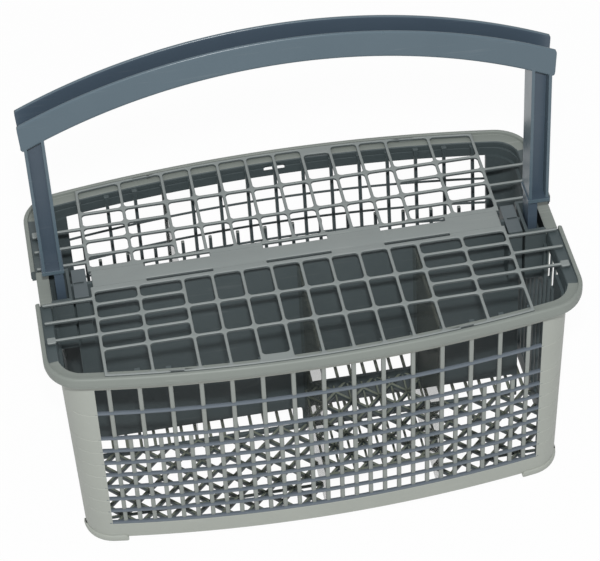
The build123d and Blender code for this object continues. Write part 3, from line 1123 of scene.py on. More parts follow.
@dataclass
class BasketRim:
    """The rim: a rounded band with a seat for the cover, in two halves between the end notches."""

    plan: BasketPlan
    height: float = 5.6
    lip: float = 2.0
    crown: float = 1.3
    step: float = 0.35
    step_height: float = 1.0
    reach: float = 7.0
    seat_stop: float = 6.6
    seat_slope: float = 0.7
    soft: float = 0.2
    lip_round: float = 0.5
    seat_corner: float = 0.3
    seat_round: float = 0.4
    end_start: float = 110.0
    end_half: float = 48.0
    bevel: float = 0.3

    def profile(self) -> list[Flat]:
        """The rim's section.

        Returns:
            Depth and height of each point.
        """
        foot = RIM_TOP - self.height
        corners = [
            (self.step, foot, self.soft),
            (self.step, foot + self.step_height, 0.0),
            (0.0, foot + self.step_height + self.step, 0.0),
            (0.0, RIM_TOP, self.crown),
            (self.lip, RIM_TOP, self.lip_round),
            (self.lip, SEAT_TOP, self.seat_corner),
            (self.seat_stop, SEAT_TOP, self.seat_round),
            (self.reach, SEAT_TOP - self.seat_slope, self.soft),
            (self.reach, foot, self.soft),
        ]
        return rounded(corners)

    def dark(self, depth: float, height: float) -> bool:
        """Whether the section gets painted shade at a place: down its inner side."""
        return depth > self.seat_stop and height < SEAT_TOP - NEAR

    def shade_ends(self, mesh: bpy.types.Mesh) -> None:
        """Paint shade on the seat along the two ends, under the free bars of the cover.

        Args:
            mesh: The rim, in millimetres.
        """
        for face in mesh.polygons:
            x, y, z = face.center
            low = z < RIM_TOP - self.lip_round - NEAR and face.normal.z > -LEVEL
            inside = self.end_start < abs(x) < BASKET_HIGH.x - self.lip + NEAR
            if low and inside and abs(y) < self.end_half:
                face.material_index = 1

    def build(self) -> bpy.types.Object:
        """Sweep both halves, cut the vent and make them one piece.

        Returns:
            The piece.
        """
        moulding = Moulding()
        profile = self.profile()
        middles = [((a + c) / 2, (b + d) / 2) for (a, b), (c, d) in zip(profile[-1:] + profile, profile)]
        second = frozenset(index for index, place in enumerate(middles) if self.dark(*place))
        for side in Side:
            tracks = [self.plan.rim(depth).half(side, SOCKET_HALF) for depth, _ in profile]
            heights = [height for _, height in profile]
            rings = [
                [(*track[i], z) for track, z in zip(tracks, heights)] for i in range(len(tracks[0]))
            ]
            moulding.loft(rings, second=second)
        mesh = moulding.mesh("basket_rim")
        # The rim's own colour, and painted shade down its inner side and on the seat at the ends
        for tone in (Tone.RIM, Tone.INSIDE):
            mesh.materials.append(FINISHES_AND_PAINTED_SHADING[tone].material())
        self.shade_ends(mesh)
        return settle("rim_band", cut_box(mesh, *self.plan.vent), BASKET_ROLE, bevel=self.bevel)


@dataclass
class BasketWalls:
    """The solid parts of the four walls: top band, bottom rail, corner columns and end plates."""

    plan: BasketPlan
    groove: float = 0.2
    groove_half: float = 0.35
    band_wall: float = 1.0
    strip_steps: int = 24
    strip_lap: float = 1.0
    column_steps: int = 2
    slot_edge: float = 32.4
    plate_half: float = 12.95
    plate_low: float = 84.0
    band_drop: float = 5.2
    band_soft: float = 0.2
    rail_soft: float = 0.4
    lap: float = 0.3
    smooth_angle: float = 18.0
    least_inward: float = -0.35

    def ring(self, depth: float, height: float) -> Ring:
        """The wall's outline at a depth and a height."""
        return ring_at(self.plan.wall(depth, height).loop(), height)

    def belt(self, low: float, high: float, wall: float, soft: float) -> bpy.types.Mesh:
        """A band of wall all round, with softened edges.

        Args:
            low: Height of its lower edge.
            high: Height of its upper edge.
            wall: Its thickness.
            soft: Radius of its edges.

        Returns:
            The band as a mesh in millimetres.
        """
        corners = [(0, low, soft), (0, high, soft), (wall, high, soft), (wall, low, soft)]
        section = rounded(corners, EDGE_STEPS)
        moulding = Moulding()
        moulding.loft([self.ring(depth, height) for depth, height in section], loop=True)
        return moulding.mesh("belt")

    def front_strip(self, moulding: Moulding) -> None:
        """Carry the band of the front wall down to its windows.

        Args:
            moulding: What the strip is added to.
        """
        low = self.plan.lattice_top(Side.FRONT)
        high = self.plan.lattice_top(Side.REAR) + self.lap
        reach = self.plan.panel_half + self.strip_lap
        corners = ((0.0, low), (0.0, high), (self.band_wall, high), (self.band_wall, low))
        rings = []
        for step in range(self.strip_steps + 1):
            x = reach * (2 * step / self.strip_steps - 1)
            rings.append([(x, -self.plan.wall(depth, z).side_y(x), z) for depth, z in corners])
        moulding.loft(rings)

    def column_rings(self, flip_x: int, flip_y: int) -> list[Ring]:
        """Rings of one corner column, with a fine groove at each ledge.

        Args:
            flip_x: 1 for the right end and -1 for the left.
            flip_y: 1 for the rear and -1 for the front.

        Returns:
            Rings from the bottom up.
        """
        levels = [(self.plan.lattice_bottom - self.lap, 0.0)]
        for height in reversed(self.plan.ledge_heights(Side(flip_y))[:-1]):
            levels.append((height - self.groove_half, 0.0))
            levels.append((height, self.groove))
            levels.append((height + self.groove_half, 0.0))
        levels.append((self.plan.lattice_top(Side.REAR) + self.lap, 0.0))
        rings = []
        for height, depth in levels:
            outer, inner = (
                self.plan.wall(inset, height).quarter(
                    self.plan.panel_half, self.slot_edge, self.column_steps
                )
                for inset in (depth, WALL)
            )
            rings.append(ring_at(outer + inner[::-1], height, flip_x, flip_y))
        return rings

    def plate_rings(self, end: int) -> list[Ring]:
        """Rings of the plate behind one handle socket.

        Args:
            end: 1 for the right end and -1 for the left.

        Returns:
            Its lower and its upper ring.
        """
        rings = []
        for height in (self.plate_low, self.plan.lattice_top(Side.REAR) + self.lap):
            outer = self.plan.wall(0.0, height).half_length
            plan = quad((outer - WALL, -self.plate_half), (outer, self.plate_half))
            rings.append(ring_at(plan, height, end))
        return rings

    def build(self) -> list[bpy.types.Object]:
        """Make the band, the rail and the four corners with the end plates.

        Returns:
            The three pieces.
        """
        # Own colour outside, painted shade on the faces that look into the basket
        tones = (Tone.BODY, Tone.INSIDE)
        top = self.plan.lattice_top(Side.REAR)
        band = self.belt(top, RIM_TOP - self.band_drop, self.band_wall, self.band_soft)
        rail = self.belt(FOOT_HEIGHT, self.plan.lattice_bottom, WALL, self.rail_soft)
        corners = Moulding()
        self.front_strip(corners)
        for flip_x in ENDS:
            for flip_y in ENDS:
                corners.loft(self.column_rings(flip_x, flip_y))
            corners.loft(self.plate_rings(flip_x))
        pieces = []
        meshes = {
            "top_band": cut_box(band, *self.plan.vent),
            "bottom_rail": rail,
            "corner_columns": corners.mesh("corner_columns"),
        }
        for name, mesh in meshes.items():
            piece = settle(name, mesh, BASKET_ROLE, tones, smooth_angle=self.smooth_angle)
            paint_inside_shade(piece.data, self.least_inward)
            pieces.append(piece)
        return pieces


@dataclass
class WallLattice:
    """The see-through long walls and ends: bowed ledges, upright bars, gussets and end slats."""

    plan: BasketPlan
    bar_width: float = 2.0
    rear_bar_width: float = 1.6
    bar_depth: float = 2.0
    bar_start: float = 0.8
    bar_steps: int = 7
    bar_root: float = 3.0
    bar_head: float = 113.5
    ledge_height: float = 1.4
    ledge_depth: float = 1.8
    rear_ledge_height: float = 1.0
    rear_ledge_depth: float = 1.2
    edge: float = 0.5
    overlap: float = 1.5
    lap: float = 0.5
    slats: int = 9
    end_slot: float = 4.5
    slat_depth: float = 1.2
    slat_window: float = 13.0
    gusset_low: float = 109.0
    gusset_top: float = 115.2
    gusset_half: float = 1.3
    gusset_tip: float = 0.5
    gusset_proud: float = 0.2
    gusset_round: float = 0.25
    least_outside: float = -0.6
    bars: bpy.types.NodeTree = field(default_factory=bar_tree)
    ledges: bpy.types.NodeTree = field(default_factory=ledge_tree)
    ribs: bpy.types.NodeTree = field(default_factory=rib_tree)

    def wall_point(self, side: Side, depth: float, height: float) -> Point:
        """The middle of a long wall at a depth and a height."""
        return (0.0, side.value * self.plan.wall(depth, height).half_depth, height)

    def add_bars(self, name: str, side: Side, count: int, top: float) -> None:
        """Stand a row of upright bars behind the ledges of a long wall.

        Args:
            name: The piece's name.
            side: The long wall.
            count: How many bars, centred.
            top: Height of their upper ends.
        """
        depth = self.bar_start + self.bar_depth / 2
        values = {
            "Count": count,
            "Pitch": GRID_PITCH,
            "Foot": self.wall_point(side, depth, self.plan.lattice_bottom - self.bar_root),
            "Head": self.wall_point(side, depth, top),
            "Bow Radius": self.plan.wall(depth, RIM_TOP).bow,
            "Side": float(side.value),
        }
        width = self.bar_width if side is Side.FRONT else self.rear_bar_width
        # Painted shade on the bars' inner faces
        section = RibSection(width, self.bar_depth, self.edge, Tone.BAR, Tone.INSIDE)
        paint_inside_shade(section.piece(name, self.bars, values, []).data)

    def add_ledges(self, name: str, side: Side, first: int, count: int, pitch: float) -> None:
        """Stack equally spaced ledges down a long wall.

        Args:
            name: The piece's name.
            side: The long wall.
            first: Which ledge, from the top, is the first.
            count: How many ledges.
            pitch: Drop from one to the next.
        """
        deep, tall = self.ledge_depth, self.ledge_height
        if side is Side.REAR:
            deep, tall = self.rear_ledge_depth, self.rear_ledge_height
        height = self.plan.ledge_heights(side)[first] + tall / 2
        curve = self.plan.wall(deep / 2, height)
        reach = (self.plan.panel_half + self.overlap) / curve.bow
        place = (0.0, side.value * (curve.half_depth - curve.bow), height)
        values = {
            "Count": count,
            "First Place": place,
            "Step": (0.0, -side.value * self.plan.side_lean * pitch, -pitch),
            "Bow Radius": curve.bow,
            "Start Angle": side.value * pi / 2 - reach,
            "Sweep Angle": 2 * reach,
        }
        # The ledges' colour is painted shade, with darker painted shade on their inner faces
        section = RibSection(deep, tall, self.edge, Tone.SHADED_LEDGE, Tone.INSIDE)
        piece = section.piece(name, self.ledges, values, [])
        if side is Side.FRONT:
            paint_inside_shade(piece.data)
        else:
            paint_inside_shade(piece.data, self.least_outside)

    def add_gussets(self) -> None:
        """Put a small wedge on the head of each bar, inside the top band."""
        moulding = Moulding()
        levels = ((self.gusset_low, self.gusset_tip), (self.gusset_top, self.gusset_half))
        depths = (self.bar_start, self.bar_start + self.bar_depth + self.gusset_proud)
        for side in Side:
            for step in range(-self.bar_steps, self.bar_steps + 1):
                x = step * GRID_PITCH
                rings = []
                for height, half in levels:
                    curves = [self.plan.wall(depth, height) for depth in depths]
                    back, front = (side.value * curve.side_y(x) for curve in curves)
                    rings.append(ring_at(quad((x - half, back), (x + half, front)), height))
                moulding.loft(rings)
        mesh = moulding.mesh("bar_gussets")
        # The gussets are wholly painted shade
        settle("bar_gussets", mesh, BASKET_ROLE, (Tone.INSIDE,), self.gusset_round)

    def add_slats(self, name: str, low: float, high: float, depth: float) -> None:
        """Stand a stretch of the slats of both end walls.

        Args:
            name: The piece's name.
            low: Height of their lower ends.
            high: Height of their upper ends.
            depth: Depth of a slat.
        """
        edges = []
        reaches = [(self.plan.wall(depth / 2, height).half_length, height) for height in (low, high)]
        for end in ENDS:
            for slat in range(self.slats):
                y = (slat - (self.slats - 1) / 2) * FINE_PITCH
                edges.append(tuple((end * x, y, z) for x, z in reaches))
        # Own colour on the slats, painted shade on their inner faces
        section = RibSection(FINE_PITCH - self.end_slot, depth, self.edge, Tone.BODY, Tone.INSIDE)
        paint_inside_shade(section.piece(name, self.ribs, {}, edges).data, self.least_outside)

    def build(self) -> None:
        """Make every bar, ledge, gusset and slat."""
        full = 2 * self.bar_steps + 1
        tall = self.plan.tall_rows
        for side in Side:
            label = side.name.lower()
            self.add_bars(f"{label}_bars", side, full, self.bar_head)
            self.add_bars(f"{label}_fine_bars", side, full - 1, self.plan.fine_top(side) - self.lap)
            self.add_ledges(f"{label}_tall_ledges", side, 0, tall, self.plan.tall_row(side))
            short = self.plan.short_row(side)
            self.add_ledges(f"{label}_short_ledges", side, tall, self.plan.short_rows, short)
        self.add_gussets()
        top = self.plan.lattice_top(Side.REAR) + self.lap
        change = top - self.slat_window
        self.add_slats("slat_heads", change, top, self.slat_depth)
        self.add_slats("end_slats", self.plan.lattice_bottom - self.lap, change, WALL)


@dataclass
class BasketFloor:
    """The diamond floor, the raised floor of the middle compartment and the four feet."""

    plan: BasketPlan
    ribs: bpy.types.NodeTree
    rib_width: float = 1.4
    rib_height: float = 2.6
    rib_round: float = 0.35
    rib_proud: float = 0.2
    lane_width: float = 1.0
    rear_lane_width: float = 1.5
    lane_height: float = 1.6
    lane_drop: float = 0.4
    cross_y: float = 39.5
    raised_phase: float = -6.0
    raised_gap: float = 1.0
    foot_proud: float = 0.9
    foot_length: float = 18.5
    foot_top: float = 3.7
    foot_soft: float = 0.6
    foot_steps: int = 10
    foot_bow_steps: int = 4

    def middle_room(self) -> list[Flat]:
        """Plan of the front compartment between the two dividers, anticlockwise."""
        return quad((0.0, -BASKET_HIGH.y), (DIVIDER_X, 0.0))

    def rib_lines(self, phase: float) -> list[Line]:
        """A point and direction for each rib of an endless floor.

        Args:
            phase: Y at which slanted ribs cross on the middle line.

        Returns:
            Slanted ribs both ways.
        """
        count = int((BASKET_HIGH.x + BASKET_HIGH.y) / GRID_PITCH) + 1
        slant = sqrt(0.5)
        lines = []
        for step in range(-count, count + 1):
            for lean in ENDS:
                lines.append(((step * GRID_PITCH, phase), (slant, lean * slant)))
        return lines

    def lane_lines(self) -> list[Line]:
        """A point and direction for each rib in line with the bars."""
        steps = int(BASKET_HIGH.x / FINE_PITCH)
        return [((step * FINE_PITCH, 0.0), (0.0, 1.0)) for step in range(-steps, steps + 1)]

    def cross_lines(self) -> list[Line]:
        """A point and direction for each rib along the basket."""
        return [((0.0, side * self.cross_y), (1.0, 0.0)) for side in ENDS]

    def along(self, line: Line, span: Flat, height: float) -> Edge:
        """A stretch of a line at a height, as its two ends."""
        (x, y), (way_x, way_y) = line
        return tuple((x + place * way_x, y + place * way_y, height) for place in span)

    def low_edges(self, lines: list[Line], height: float, side: Side) -> list[Edge]:
        """Ribs of one half of the low floor, which stops at the middle front compartment.

        Args:
            lines: Point and direction of each rib.
            height: Height of the ribs' middle.
            side: Which half.

        Returns:
            The two ends of each rib.
        """
        loop = self.plan.wall(WALL / 2, height).loop()
        outline = [(x, y if y * side.value > 0 else 0.0) for x, y in loop]
        edges = []
        for line in lines:
            whole = line_inside(*line, outline)
            if whole is None:
                continue
            gap = line_inside(*line, self.middle_room())
            spans = [whole]
            if gap and gap[1] > whole[0] and gap[0] < whole[1]:
                spans = [(whole[0], gap[0]), (gap[1], whole[1])]
            for span in spans:
                if span[1] - span[0] > SHORTEST:
                    edges.append(self.along(line, span, height))
        return edges

    def raised_edges(self, lines: list[Line], height: float) -> list[Edge]:
        """Ribs of the raised floor, between the dividers, the front wall and the centre wall.

        Args:
            lines: Point and direction of each rib.
            height: Height of the ribs' middle.

        Returns:
            The two ends of each rib.
        """
        outline = self.plan.wall(WALL + self.raised_gap, height).loop()
        edges = []
        for line in lines:
            spans = [line_inside(*line, outline), line_inside(*line, self.middle_room())]
            if None in spans:
                continue
            first = max(span[0] for span in spans)
            last = min(span[1] for span in spans)
            if last - first > SHORTEST:
                edges.append(self.along(line, (first, last), height))
        return edges

    def add_ribs(self, name: str, edges: list[Edge], width: float, height: float) -> None:
        """Put ribs along edges and make them a piece, with painted shade on their sides and painted
        light on their tops.

        Args:
            name: The piece's name.
            edges: The two ends of each rib.
            width: Width of a rib.
            height: Height of a rib.
        """
        # Painted shade on the ribs' sides and painted light on their tops
        section = RibSection(width, height, self.rib_round, Tone.INSIDE, Tone.FLOOR)
        for face in section.piece(name, self.ribs, {}, edges).data.polygons:
            face.material_index = int(face.normal.z > LEVEL)

    def add_front_rail(self, height: float) -> None:
        """Close the raised floor's front edge with a rail along the bow of the wall.

        Args:
            height: Height of the rail's middle.
        """
        curve = self.plan.wall(WALL + self.rib_width / 2, height)
        places = [step * GRID_PITCH for step in range(DIVIDER_PITCHES + 1)]
        points = [(x, -curve.side_y(x), height) for x in places]
        self.add_ribs("raised_rail", list(zip(points, points[1:])), self.rib_width, self.rib_height)

    def add_feet(self) -> None:
        """Wrap a foot with round free ends round each bottom corner."""
        moulding = Moulding()
        begin = self.plan.wall(0.0, 0.0).half_length - self.foot_length
        radius = self.foot_top / 2
        for flip_x in ENDS:
            for flip_y in ENDS:
                rings = []
                for step in range(self.foot_steps + 1):
                    angle = pi * step / self.foot_steps
                    height = radius * (1 - cos(angle))
                    draw = 1 - sin(angle)
                    outer = self.plan.wall(self.foot_soft * draw - self.foot_proud, height)
                    inner = self.plan.wall(WALL, height)
                    start = begin + radius * draw
                    stop = inner.half_depth - self.foot_length + radius * draw
                    path = outer.quarter(start, stop, self.foot_bow_steps)
                    path += inner.quarter(start, stop, self.foot_bow_steps)[::-1]
                    rings.append(ring_at(path, height, flip_x, flip_y))
                moulding.loft(rings)
        settle("feet", moulding.mesh("feet"), BASKET_ROLE, (Tone.BODY,))

    def build(self) -> None:
        """Make both floors and the feet."""
        low = FLOOR_TOP + self.rib_proud - self.rib_height / 2
        high = RAISED_TOP - self.rib_height / 2
        diamonds = self.low_edges(self.rib_lines(0.0), low, Side.FRONT)
        self.add_ribs("floor_diamonds", diamonds, self.rib_width, self.rib_height)
        cross = self.low_edges(self.cross_lines(), low - self.lane_drop, Side.FRONT)
        self.add_ribs("front_floor_cross", cross, self.lane_width, self.lane_height)
        lanes = self.lane_lines() + self.cross_lines()
        lanes = self.low_edges(lanes, low - self.lane_drop, Side.REAR)
        self.add_ribs("rear_floor_lanes", lanes, self.rear_lane_width, self.lane_height)
        diamonds = self.raised_edges(self.rib_lines(self.raised_phase), high)
        lanes = self.raised_edges(self.lane_lines(), high - self.lane_drop)
        self.add_ribs("raised_diamonds", diamonds, self.rib_width, self.rib_height)
        self.add_ribs("raised_lanes", lanes, self.lane_width, self.lane_height)
        self.add_front_rail(high)
        self.add_feet()


@dataclass
class InnerWalls:
    """The centre wall with its drain gaps over both floors, and the three dividers."""

    plan: BasketPlan
    thickness: float = 1.8
    half_length: float = 103.1
    drain_height: float = 12.0
    drain_slots: int = 2
    drain_rib: float = 4.0
    drain_rail: float = 2.4
    drain_round: float = 1.5
    edge: float = 0.25
    divider: float = 1.6
    divider_drop: float = 8.0
    divider_lift: float = 0.1
    divider_round: float = 0.3

    def window(self, x: float, z: float, width: float) -> list[Flat]:
        """A rounded drain gap by its lower left corner and width."""
        corners = quad((x, z), (x + width, z + self.drain_height))
        return rounded([(*corner, self.drain_round) for corner in corners])

    def centre_wall(self) -> bpy.types.Mesh:
        """The wall under the spine.

        Returns:
            Its mesh, upright in the middle of the basket.
        """
        edge = self.half_length
        outer = quad((-edge, FOOT_HEIGHT), (edge, COVER_BOTTOM))
        holes = []
        run = 2 * edge / self.drain_slots
        for slot in range(self.drain_slots):
            x = slot * run - edge + self.drain_rib / 2
            holes.append(self.window(x, FLOOR_TOP, run - self.drain_rib))
        low = RAISED_TOP + self.drain_rail
        holes.append(self.window(self.drain_rib / 2, low, DIVIDER_X - self.drain_rib))
        mesh = flat_sheet("centre_wall", outer, holes, self.thickness, self.edge)
        mesh.transform(Matrix.Rotation(pi / 2, 4, "X"))
        return mesh

    def build(self) -> None:
        """Make the centre wall and the dividers."""
        # The centre wall is wholly painted shade
        settle("centre_wall", self.centre_wall(), BASKET_ROLE, (Tone.INSIDE,))
        moulding = Moulding()
        top = RIM_TOP - self.divider_drop
        half = self.divider / 2
        for x, side in ((0.0, Side.FRONT), (DIVIDER_X, Side.FRONT), (-DIVIDER_X, Side.REAR)):
            rings = []
            for height in (FOOT_HEIGHT + self.divider_lift, top):
                y = side.value * self.plan.wall(WALL / 2, height).side_y(x)
                rings.append(ring_at(quad((x - half, 0.0), (x + half, y)), height))
            moulding.loft(rings)
        mesh = moulding.mesh("dividers")
        settle("dividers", mesh, BASKET_ROLE, (Tone.DIVIDER,), self.divider_round)


@dataclass
class HandleSockets:
    """The two end pockets that take the handle's tongues, with the clip blocks beside them."""

    plan: BasketPlan
    drop: float = 0.8
    wall: float = 1.5
    pocket_floor: float = 2.0
    pocket_outer: float = 112.2
    pocket_width: float = 7.6
    notch: float = 2.2
    block_gap: float = 0.9
    block_length: float = 7.4
    block_half: float = 9.4
    block_drop: float = 1.2
    slit_length: float = 4.5
    slit_width: float = 1.2
    slit_depth: float = 8.0
    shelf_lap: float = 0.4
    shelf_depth: float = 2.4
    bevel: float = 0.25

    @property
    def back(self) -> float:
        """X of the pocket's inner wall, on the side of the basket's middle."""
        return self.pocket_outer - self.pocket_width - self.wall

    @property
    def low(self) -> float:
        """Height of the pocket's underside."""
        return RIM_TOP - SOCKET_DEPTH

    def build(self) -> None:
        """Make both pockets and clip blocks."""
        moulding = Moulding()
        top = RIM_TOP - self.drop
        inside = SOCKET_HALF - self.wall
        wall_x = self.plan.wall(WALL / 2, RIM_TOP).half_length
        shelf = BASKET_HIGH.x - self.notch
        block_top = RIM_TOP - self.block_drop
        start = self.back - self.block_length
        slit = start + (self.block_length - self.slit_length) / 2
        for end in ENDS:
            def across(x: float, y: float, z: float) -> Point:
                """A point of this end."""
                return (end * x, y, z)

            moulding.pocket_box(
                across(self.back, -SOCKET_HALF, self.low),
                across(wall_x, SOCKET_HALF, top),
                across(self.back + self.wall, -inside, self.low + self.pocket_floor),
                across(self.pocket_outer, inside, top),
            )
            moulding.box(
                across(wall_x - self.shelf_lap, -SOCKET_HALF, SEAT_TOP - self.shelf_depth),
                across(shelf, SOCKET_HALF, top),
            )
            moulding.pocket_box(
                across(start, -self.block_half, self.low),
                across(self.back - self.block_gap, self.block_half, block_top),
                across(slit, -self.slit_width / 2, block_top - self.slit_depth),
                across(slit + self.slit_length, self.slit_width / 2, block_top),
            )
        tones = (Tone.RIM, Tone.INSIDE, Tone.CLIP, Tone.SHADED_DEEP)
        mesh = moulding.mesh("handle_sockets")
        piece = settle("handle_sockets", mesh, BASKET_ROLE, tones, self.bevel)
        for face in piece.data.polygons:
            x = abs(face.center.x) * MM
            level = face.normal.z > LEVEL
            along_slit = slit - NEAR < x < slit + self.slit_length - NEAR
            in_slit = along_slit and abs(face.center.y) * MM < self.slit_width
            # Darkest painted shade in the slits and on the pocket's outer wall
            if in_slit and not level or abs(x - self.pocket_outer) < NEAR:
                face.material_index = tones.index(Tone.SHADED_DEEP)
            # Painted shade on the clip blocks' tops
            elif x < self.back and level:
                face.material_index = tones.index(Tone.CLIP)
            # Painted shade in the pocket
            elif x < self.pocket_outer:
                face.material_index = tones.index(Tone.INSIDE)


# Cover


@dataclass
class CoverGrid:
    """The cover: a spine with film hinges and two grid flaps."""

    plan: BasketPlan
    edge: float = 0.6
    hinge_y: float = 5.35
    seam: float = 0.03
    trim: float = 2.0
    front_slot: float = 0.8
    rear_slot: float = 1.35
    slot_side_x: float = 54.2
    slot_side: float = 30.0
    slot_middle: float = 29.5
    slot_round: float = 0.3
    flap_edge: float = 94.68
    bar: float = 1.45
    hinge_bar: float = 3.0
    outer_bar: float = 1.3
    outer_inset: float = 2.4
    bow_steps: int = 24
    first_row: float = 16.4
    row: float = 9.75
    rows: int = 4
    comb_first: float = 12.3
    comb_row: float = 11.6
    comb_rows: int = 3
    comb_reach: float = 117.1
    comb_root: float = 0.8
    comb_round: float = 0.5
    pad: float = 4.0
    pad_root: float = 0.3
    pad_round: float = 0.6
    tab_x: float = -1.5 * GRID_PITCH
    tab_depth: float = 5.1
    notch_x: float = 4.75 * GRID_PITCH
    notch_width: float = 5.7
    notch_depth: float = 0.7
    notch_clear: float = 0.5
    cell_round: float = 1.8
    least_level: float = 0.6
    skirt: float = 1.2
    skirt_depth: float = 3.0
    skirt_gap: float = 1.1
    skirt_lap: float = 0.4
    skirt_round: float = 0.2

    @property
    def thickness(self) -> float:
        """Thickness of the cover's sheet."""
        return FLAP_HIGH.z - FLAP_LOW.z

    def columns(self) -> list[float]:
        """Places of the long bars, with narrow columns in the middle and two wide ones each side.

        Returns:
            X of each bar's middle, from left to right.
        """
        narrow = [step * GRID_PITCH for step in range(-DIVIDER_PITCHES, DIVIDER_PITCHES + 1)]
        last = self.flap_edge - self.bar / 2
        between = (narrow[-1] + last) / 2
        return [-last, -between] + narrow + [between, last]

    def outer_y(self, x: float, inset: float) -> float:
        """Y of the flap's bowed outer edge, moved inwards by an inset."""
        return -self.plan.rim(inset).side_y(x)

    def slots(self) -> list[tuple[float, float]]:
        """Places of the hinge slots.

        Returns:
            First and last X of each slot, from left to right.
        """
        places = (-self.slot_side_x, 0.0, self.slot_side_x)
        lengths = (self.slot_side, self.slot_middle, self.slot_side)
        return [(x - length / 2, x + length / 2) for x, length in zip(places, lengths)]

    def hinge_line(self, straight_y: float, slot_y: float, half: float) -> list[Corner]:
        """Corners along a hinge edge from left to right, set back at each slot.

        Args:
            straight_y: Y of the edge between the slots.
            slot_y: Y of the edge in a slot.
            half: Half the edge's length.

        Returns:
            Corners with their radii.
        """
        corners = [(-half, straight_y, 0.0)]
        for first, last in self.slots():
            corners.append((first, straight_y, 0.0))
            corners.append((first, slot_y, self.slot_round))
            corners.append((last, slot_y, self.slot_round))
            corners.append((last, straight_y, 0.0))
        corners.append((half, straight_y, 0.0))
        return corners

    def bowed_edge(self) -> list[Corner]:
        """Corners along the flap's outer edge, with the latch notches.

        Returns:
            Corners from right to left.
        """
        inset = self.outer_inset
        half = self.notch_width / 2
        marks = []
        for middle in (self.notch_x, -self.notch_x):
            marks.append((middle + half, inset))
            marks.append((middle + half, inset + self.notch_depth))
            marks.append((middle - half, inset + self.notch_depth))
            marks.append((middle - half, inset))
        places = [self.flap_edge * (1 - 2 * i / self.bow_steps) for i in range(self.bow_steps + 1)]
        free = [x for x in places if abs(abs(x) - self.notch_x) > half + self.notch_clear]
        marks += [(x, inset) for x in free]
        order = sorted(range(len(marks)), key=lambda i: (-marks[i][0], i))
        return [(marks[i][0], self.outer_y(*marks[i]), 0.0) for i in order]

    def comb(self, end: int) -> list[Corner]:
        """Corners down one end of the flap, out and back along each free bar.

        Args:
            end: 1 for the right end and -1 for the left.

        Returns:
            Corners from the hinge to the outer edge.
        """
        half = self.bar / 2
        wide = self.pad / 2
        edge = self.flap_edge
        tip = self.comb_reach
        neck = tip - self.pad
        marks = []
        for index in range(self.comb_rows):
            y = -(self.comb_first + index * self.comb_row)
            marks.append((edge, y + half, self.comb_root))
            if index == self.comb_rows - 1:
                marks.append((neck, y + half, self.pad_root))
                marks.append((neck, y + wide, self.pad_round))
                marks.append((tip, y + wide, self.pad_round))
                marks.append((tip, y - wide, self.pad_round))
                marks.append((neck, y - wide, self.pad_round))
                marks.append((neck, y - half, self.pad_root))
            else:
                marks.append((tip, y + half, self.comb_round))
                marks.append((tip, y - half, self.comb_round))
            marks.append((edge, y - half, self.comb_root))
        return [(end * x, y, soft) for x, y, soft in marks]

    def cells(self) -> list[list[Flat]]:
        """Openings of the flap's grid.

        Returns:
            The outline of each opening.
        """
        columns = self.columns()
        top = -(self.hinge_y + self.hinge_bar)
        full = [-(self.first_row + index * self.row) for index in range(self.rows)]
        half = self.bar / 2
        outlines = []
        for left, right in zip(columns, columns[1:]):
            narrow = right - left < GRID_PITCH + NEAR
            rows = full[1::2] if narrow else full
            inset = self.outer_inset + self.outer_bar
            if abs((left + right) / 2 - self.tab_x) < NEAR:
                inset = self.outer_inset + self.tab_depth
            uppers = [top] + [y - half for y in rows]
            lowers = [y + half for y in rows] + [None]
            for upper, lower in zip(uppers, lowers):
                x0, x1 = left + half, right - half
                y0 = self.outer_y(x0, inset) if lower is None else lower
                y1 = self.outer_y(x1, inset) if lower is None else lower
                soft = self.cell_round
                outlines.append(
                    rounded([(x0, y0, soft), (x1, y1, soft), (x1, upper, soft), (x0, upper, soft)])
                )
        return outlines

    def flap(self, side: Side) -> None:
        """Make one flap. The rear one is the front one turned half round.

        Args:
            side: Which flap.
        """
        edge = self.flap_edge
        seam = -(self.hinge_y + self.seam)
        slot = self.front_slot if side is Side.FRONT else self.rear_slot
        line = self.hinge_line(seam + self.trim, seam - slot, edge)
        outer = line + self.comb(1) + self.bowed_edge() + self.comb(-1)[::-1]
        mesh = flat_sheet("flap", rounded(outer), self.cells(), self.thickness, self.edge)
        cut_flat(mesh, (0.0, seam, 0.0), (0.0, 1.0, 0.0))
        if side is Side.REAR:
            mesh.transform(Matrix.Rotation(pi, 4, "Z"))
        self.finish(f"{side.name.lower()}_grid_flap", mesh, FLAP_ROLES[side])

    def finish(self, name: str, mesh: bpy.types.Mesh, role: Role) -> None:
        """Lift a sheet of the cover to its height and make it a piece, with painted shade on its upright
        edges.

        Args:
            name: The piece's name.
            mesh: The sheet, about Z = 0.
            role: Its body, solid and slot.
        """
        mesh.transform(Matrix.Translation((0.0, 0.0, (FLAP_LOW.z + FLAP_HIGH.z) / 2)))
        piece = settle(name, mesh, role, (Tone.COVER, Tone.EDGE))
        for face in piece.data.polygons:
            # Painted shade on the faces that stand upright
            face.material_index = int(abs(face.normal.z) < self.least_level)

